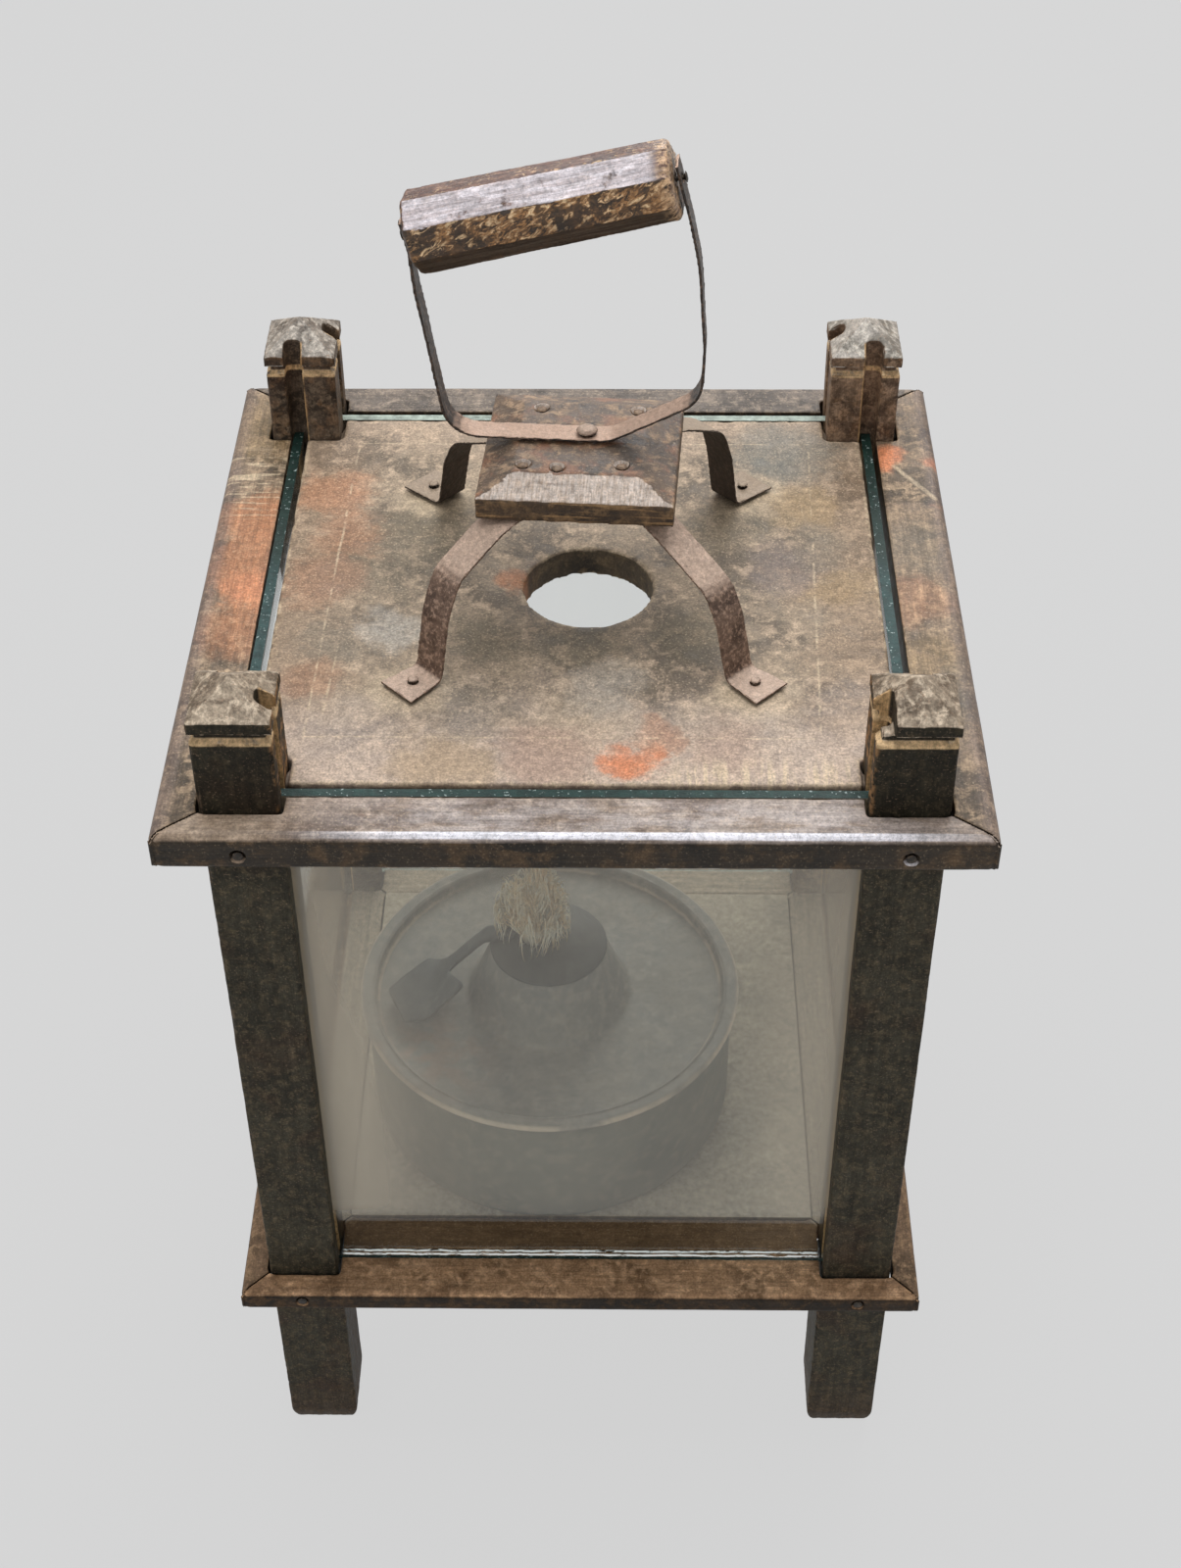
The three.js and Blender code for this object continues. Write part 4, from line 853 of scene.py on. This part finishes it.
def finish_timber():
    post_colours = {
        "post_front_left": (POST_DARK, POST_TOP),
        "post_front_right": (POST_DARK, POST_TOP),
        "post_back_left": (POST_BACK_LEFT, POST_TOP_GREY),
        "post_back_right": (POST_BACK_RIGHT, POST_TOP_PALE),
    }
    posts = {name: timber(name.replace("_", " ") + " wood", ALONG_Z, shaft, top, WORN_POST,
                          marks=post_marks, size=3.0, flecks=0.7, side_flecks=0.4, rub=0.25,
                          gloss=0.15)
             for name, (shaft, top) in post_colours.items()}
    front = timber("front rail wood", ALONG_X, RAIL_SIDE, FRONT_TOP, PALE, roughness=0.45,
                   marks=front_rail_marks, side_flecks=0.4, gloss=0.3)
    side = timber("side rail wood", ALONG_Y, RAIL_SIDE, SIDE_TOP, PALE, roughness=0.5,
                  marks=rail_marks, streaks=0.3, size=1.6, gloss=0.3)
    back = timber("back rail wood", ALONG_X, RAIL_SIDE, BACK_TOP, PALE, roughness=0.5, size=1.6,
                  gloss=0.3)
    base = {"marks": base_marks, "flecks": 0.3, "size": 2.0, "gloss": 0.2}
    base_front = timber("base wood along X", ALONG_X, BASE_SIDE, BASE_TOPS, PALE, **base)
    base_side = timber("base wood along Y", ALONG_Y, BASE_SIDE, BASE_SIDE_TOPS, PALE, **base)
    roof = timber("roof wood", ALONG_Y, ROOF_SIDE, ROOF_FACE, CREAM, marks=roof_marks,
                  bump=0.0003, streaks=0.04, roughness=0.65, size=1.5, grit=0.35)
    floor = timber("floor wood", ALONG_X, ROOF_SIDE, FLOOR_FACE, PALE, roughness=0.75,
                   streaks=0.04, flecks=0.1, grit=0.1)
    top_seam = seam_of(FRAME_SIDE, FRAME_FRONT)
    base_seam = seam_of(BASE_SIDE_EDGE, BASE_FRONT)
    for seed, (name, target) in enumerate(nodes.items(), 2):
        sideways = name.endswith(("left", "right"))
        grain = ALONG_Y if sideways else ALONG_X
        if name.startswith("post_"):
            dress(target, posts[name], RAIL_VOXEL, seed, POST, ALONG_Z)
        elif name.startswith("top_rail_"):
            wood = side if sideways else front if name.endswith("front") else back
            dress(target, wood, RAIL_VOXEL, seed, {**RAIL, **top_seam}, grain)
        elif name.startswith("base_rail_"):
            wood = base_side if sideways else base_front
            dress(target, wood, RAIL_VOXEL, seed, {**RAIL, **base_seam}, grain)
    dress(nodes["roof_board"], roof, ROOF_VOXEL, 3, BOARD, ALONG_Y)
    paint(nodes["floor_board"], floor)


def finish_handle():
    block = timber("block wood", ALONG_X, BLOCK_SIDE, BLOCK_TOP, PALE, turn=BLOCK_TURN,
                   roughness=0.5, marks=block_marks, bump=0.0007, size=2.0, streaks=0.12)
    grip = timber("grip wood", ALONG_X, GRIP_SIDE, GRIP_TOP, srgb(186, 146, 98), turn=GRIP_TURN,
                  roughness=0.36, marks=grip_marks, bump=0.0006, size=2.0, flecks=0.3)
    dress(nodes["handle_block"], block, RAIL_VOXEL, 7, HEWN, ALONG_X, BLOCK_TURN)
    dress(nodes["grip"], grip, GRIP_VOXEL, 9, CARVED, ALONG_X, GRIP_TURN)


def finish_iron():
    strap = iron("strap iron", tones((80, 60, 48), (122, 98, 82), (168, 140, 120)),
                 srgb(200, 174, 154), grit=0.2, marks=strap_marks, pits=0.3)
    bail = iron("bail iron", tones((44, 39, 35), (70, 59, 51), (120, 98, 82)),
                srgb(192, 160, 138), metallic=0.2, roughness=0.5, dust=0.95, grit=0.16, pits=0.25)
    nail = iron("nail iron", tones((34, 28, 22), (50, 42, 34), (84, 70, 56)),
                srgb(90, 76, 62), metallic=0.2, roughness=0.5)
    block_nail = iron("block nail iron", tones((88, 69, 52), (116, 93, 73), (146, 121, 98)),
                      srgb(140, 116, 94))
    for name, target in nodes.items():
        if name in ("strap_upper", "strap_lower"):
            dress(target, strap, STRAP_VOXEL, len(name), FORGED)
        elif name == "bail_strap":
            dress(target, bail, STRAP_VOXEL, 5, FORGED)
        elif "_nail_" in name or name.endswith("rivet"):
            on_strap = name.startswith(("foot", "swivel"))
            on_block = name.startswith("block")
            metal = strap if on_strap else block_nail if on_block else nail
            dress(target, metal, NAIL_VOXEL, 6, NAIL_HEAD)


def finish_lamp():
    smooth = {"roughness": 0.6, "scale": 0.3, "depth": 0.0001}
    font = iron("lamp iron", tones((98, 98, 86), (110, 108, 94), (124, 118, 102)),
                srgb(128, 122, 108), dust=0.5, grit=0.06, **smooth)
    lid = iron("lid iron", tones((130, 128, 120), (144, 140, 129), (158, 149, 134)),
               srgb(150, 144, 132), dust=0.4, grit=0.08, marks=rim_marks, **smooth)
    cap = iron("cap iron", tones((54, 57, 54), (66, 67, 62), (82, 81, 74)),
               srgb(84, 84, 78), dust=0.5, grit=0.1, **smooth)
    turned = {"lamp_font": font, "lamp_lid": lid, "wick_cap": cap, "wick_arm": cap}
    for name, material in turned.items():
        paint(nodes[name], material)
        add_group(nodes[name], turning, {"Dent depth": DENT_DEPTH})


def finish_glass():
    deep, slate_blue = srgb(20, 42, 36), srgb(38, 64, 62)
    teal, pale_teal = srgb(32, 56, 52), srgb(160, 172, 160)
    side = ("X", (deep, slate_blue), 0.03, 0.0)
    panes = {
        "pane_front": ("Y", (teal, teal), 0.09, 0.32),
        "pane_back": ("Y", (pale_teal, pale_teal), 0.01, 0.0),
        "pane_left": side,
        "pane_right": side,
    }
    for name, (thin, edge_tones, dust, haze) in panes.items():
        paint(nodes[name], glass(name.replace("_", " ") + " glass", thin, edge_tones, dust, haze))
        bevel = nodes[name].modifiers.new("arris", "BEVEL")
        bevel.width = PANE_ARRIS
        bevel.segments = 2


# Tow wick

FIBRES = 620
LOCKS = 11
LOCK_ANGLE = 2.399  # the golden angle, which spreads the locks evenly
FIBRE_STEPS = 8
FIBRE_SIDES = 3
TUFT_FOOT = 0.0068
PLIES = 8  # round one more in the middle
PLY_SIDES = 8
PLY_RADIUS = 0.0024
PLY_CIRCLE = 0.0040
PLY_STEPS = 40
PLY_TWIST = 0.16


def fibre_points(rng, foot, centre, spread, height):
    """Curved line of one fibre, from its foot outwards and up to a frayed or hanging end."""
    lock = rng.randrange(LOCKS)
    angle = lock * LOCK_ANGLE + rng.gauss(0, 0.26)
    droop = lock % 4 == 1 or rng.random() < 0.12
    reach = spread * (0.35 + 0.65 * math.sqrt(rng.random())) * (0.72 + 0.28 * math.sin(lock * 1.7))
    if droop:
        reach = spread * rng.uniform(0.75, 1.0)
    top = height * rng.uniform(0.5, 1.0) * (1 - 0.5 * reach / spread)
    twist = rng.uniform(-0.7, 0.7)
    fall = rng.uniform(0.5, 1.1) if droop else 0.0
    points = []
    for i in range(FIBRE_STEPS + 1):
        t = i / FIBRE_STEPS
        swell = math.sin(min(t * 1.25, 1) * math.pi / 2)
        around = angle + twist * t
        wave = 0.0012 * math.sin(9 * t + angle * 3)
        radius = min(foot + (reach - foot) * swell + wave, spread)
        rise = math.sin(min(1.5 * t, 1) * math.pi / 2) - fall * max(t - 0.45, 0) * 1.6
        points.append(centre + Vector((
            radius * math.cos(around) - 0.001 * t,
            radius * math.sin(around),
            max(top * rise + 0.001 * math.sin(11 * t + angle * 5), 0),
        )))
    return points


def round_angles(count):
    return [2 * math.pi * k / count for k in range(count)]


def fibre_rings(points, thickness):
    """Ring about each point, square to the fibre's run and smaller towards its end."""
    rings = []
    last = len(points) - 1
    for i, point in enumerate(points):
        ahead = points[min(i + 1, last)] - points[max(i - 1, 0)]
        side = ahead.orthogonal().normalized()
        other = ahead.cross(side).normalized()
        radius = thickness * (1 - 0.75 * i / last)
        rings.append([point + radius * (math.cos(angle) * side + math.sin(angle) * other)
                      for angle in round_angles(FIBRE_SIDES)])
    return rings


def ply_rings(centre, low, high, around, radius):
    """Level rings up a strand of the cord, which winds about the centre at that radius."""
    rings = []
    for i in range(PLY_STEPS + 1):
        turn = around + i * PLY_TWIST
        point = Vector((centre.x + radius * math.cos(turn), centre.y + radius * math.sin(turn),
                        low + (high - low) * i / PLY_STEPS))
        rings.append([point + Vector((PLY_RADIUS * math.cos(angle), PLY_RADIUS * math.sin(angle),
                                      0)) for angle in round_angles(PLY_SIDES)])
    return rings


def add_tube(vertices, faces, rings):
    """Tube through the rings, closed at both ends."""
    sides = len(rings[0])
    start = len(vertices)
    last = start + sides * (len(rings) - 1)
    for ring in rings:
        vertices.extend(ring)
    for row in range(start, last, sides):
        for k in range(sides):
            after = (k + 1) % sides
            faces.append((row + k, row + after, row + sides + after, row + sides + k))
    faces.append(tuple(reversed(range(start, start + sides))))
    faces.append(tuple(range(last, last + sides)))


def add_object(name, data):
    new = bpy.data.objects.new(name, data)
    bpy.context.scene.collection.objects.link(new)
    return new


def make_wick():
    """Tow bundle: a twisted cord through the cap and a frayed tuft above it."""
    rng = random.Random(11)
    middle = (WICK_LOW + WICK_HIGH) / 2
    centre = Vector((middle.x, middle.y, CAP_TOP - 0.004))
    spread = (WICK_HIGH.x - WICK_LOW.x) / 2 - 0.0024
    height = WICK_HIGH.z - centre.z - 0.001
    vertices, faces = [], []
    for _ in range(FIBRES):
        foot = TUFT_FOOT * math.sqrt(rng.random())
        points = fibre_points(rng, foot, centre, spread, height)
        add_tube(vertices, faces, fibre_rings(points, rng.uniform(0.0003, 0.0006)))
    strands = [(angle, PLY_CIRCLE) for angle in round_angles(PLIES)] + [(2 * math.pi, 0.0)]
    for around, radius in strands:
        add_tube(vertices, faces, ply_rings(centre, WICK_LOW.z + 0.001, centre.z + 0.004, around,
                                            radius))
    mesh = bpy.data.meshes.new("tow_tuft")
    mesh.from_pydata([tuple(vertex) for vertex in vertices], [], faces)
    mesh.shade_smooth()
    mesh.materials.append(tow_finish())
    tuft = add_object("tow_tuft", mesh)
    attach(tuft, "tow_wick")
    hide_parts("wick")


# Studio

BACKGROUND = srgb(214, 214, 214)
FLOOR_HALF = 12
FLOOR_GLOW = 0.93  # share of the floor's own shade that the background replaces
AMBIENT = 0.34
LIGHT_AIM = (0, 0, 0.35)
CAMERA_PLACE = (0.014939, -0.744075, 0.942891)
CAMERA_YAW, CAMERA_PITCH, CAMERA_ROLL = 0.015, 0.841, -0.006
LENS, SENSOR = 53.97, 36  # mm


def make_camera():
    data = bpy.data.cameras.new("camera")
    data.sensor_width = SENSOR
    data.lens = LENS
    data.clip_start = 0.01
    camera = add_object("camera", data)
    turn = (Matrix.Rotation(CAMERA_YAW, 4, "Z") @ Matrix.Rotation(CAMERA_PITCH, 4, "X")
            @ Matrix.Rotation(CAMERA_ROLL, 4, "Z"))
    camera.matrix_world = Matrix.Translation(CAMERA_PLACE) @ turn
    bpy.context.scene.camera = camera


def seen_share(graph):
    """1 for what the camera sees, directly, in a reflection or through glass."""
    path = graph.add("ShaderNodeLightPath").outputs
    return graph.most(path["Is Camera Ray"], graph.most(path["Is Glossy Ray"],
                                                        path["Is Transmission Ray"]))


def make_floor():
    mesh = bpy.data.meshes.new("floor")
    corners = ((-1, -1), (1, -1), (1, 1), (-1, 1))
    mesh.from_pydata([(FLOOR_HALF * x, FLOOR_HALF * y, 0) for x, y in corners], [],
                     [(0, 1, 2, 3)])
    floor = add_object("floor", mesh)
    material = bpy.data.materials.new("pale floor")
    material.use_nodes = True
    graph = Graph(material.node_tree)
    lit = graph.out("ShaderNodeBsdfDiffuse", {"Color": BACKGROUND})
    glow = graph.out("ShaderNodeEmission", {"Color": BACKGROUND})
    both = graph.blend(seen_share(graph) * FLOOR_GLOW, lit, glow)
    graph.add("ShaderNodeOutputMaterial", {"Surface": both})
    mesh.materials.append(material)


def make_world():
    world = bpy.data.worlds.new("studio")
    bpy.context.scene.world = world
    world.use_nodes = True
    graph = Graph(world.node_tree)
    ambient = graph.out("ShaderNodeBackground", {"Color": (AMBIENT, AMBIENT, AMBIENT * 1.03, 1)})
    seen = graph.out("ShaderNodeBackground", {"Color": BACKGROUND})
    graph.add("ShaderNodeOutputWorld", {"Surface": graph.blend(seen_share(graph), ambient, seen)})


def make_light(name, place, size, power, colour=(1, 1, 1)):
    data = bpy.data.lights.new(name, "AREA")
    data.shape = "RECTANGLE"
    data.size, data.size_y = size
    data.energy = power
    data.color = colour
    light = add_object(name, data)
    light.location = place
    aim = Vector(LIGHT_AIM) - Vector(place)
    light.rotation_euler = aim.to_track_quat("-Z", "Y").to_euler()


def make_studio():
    bpy.context.scene.view_settings.view_transform = "Standard"
    make_floor()
    make_world()
    make_light("overhead", (0.0, 0.3, 2.3), (1.6, 1.4), 30, (0.97, 0.985, 1))
    make_light("behind", (0.3, 1.9, 1.5), (1.4, 1.0), 18)
    make_light("fill", (-1.4, -1.6, 1.7), (1.4, 1.4), 8)


make_camera()
finish_timber()
finish_handle()
finish_iron()
finish_lamp()
finish_glass()
make_wick()
make_studio()
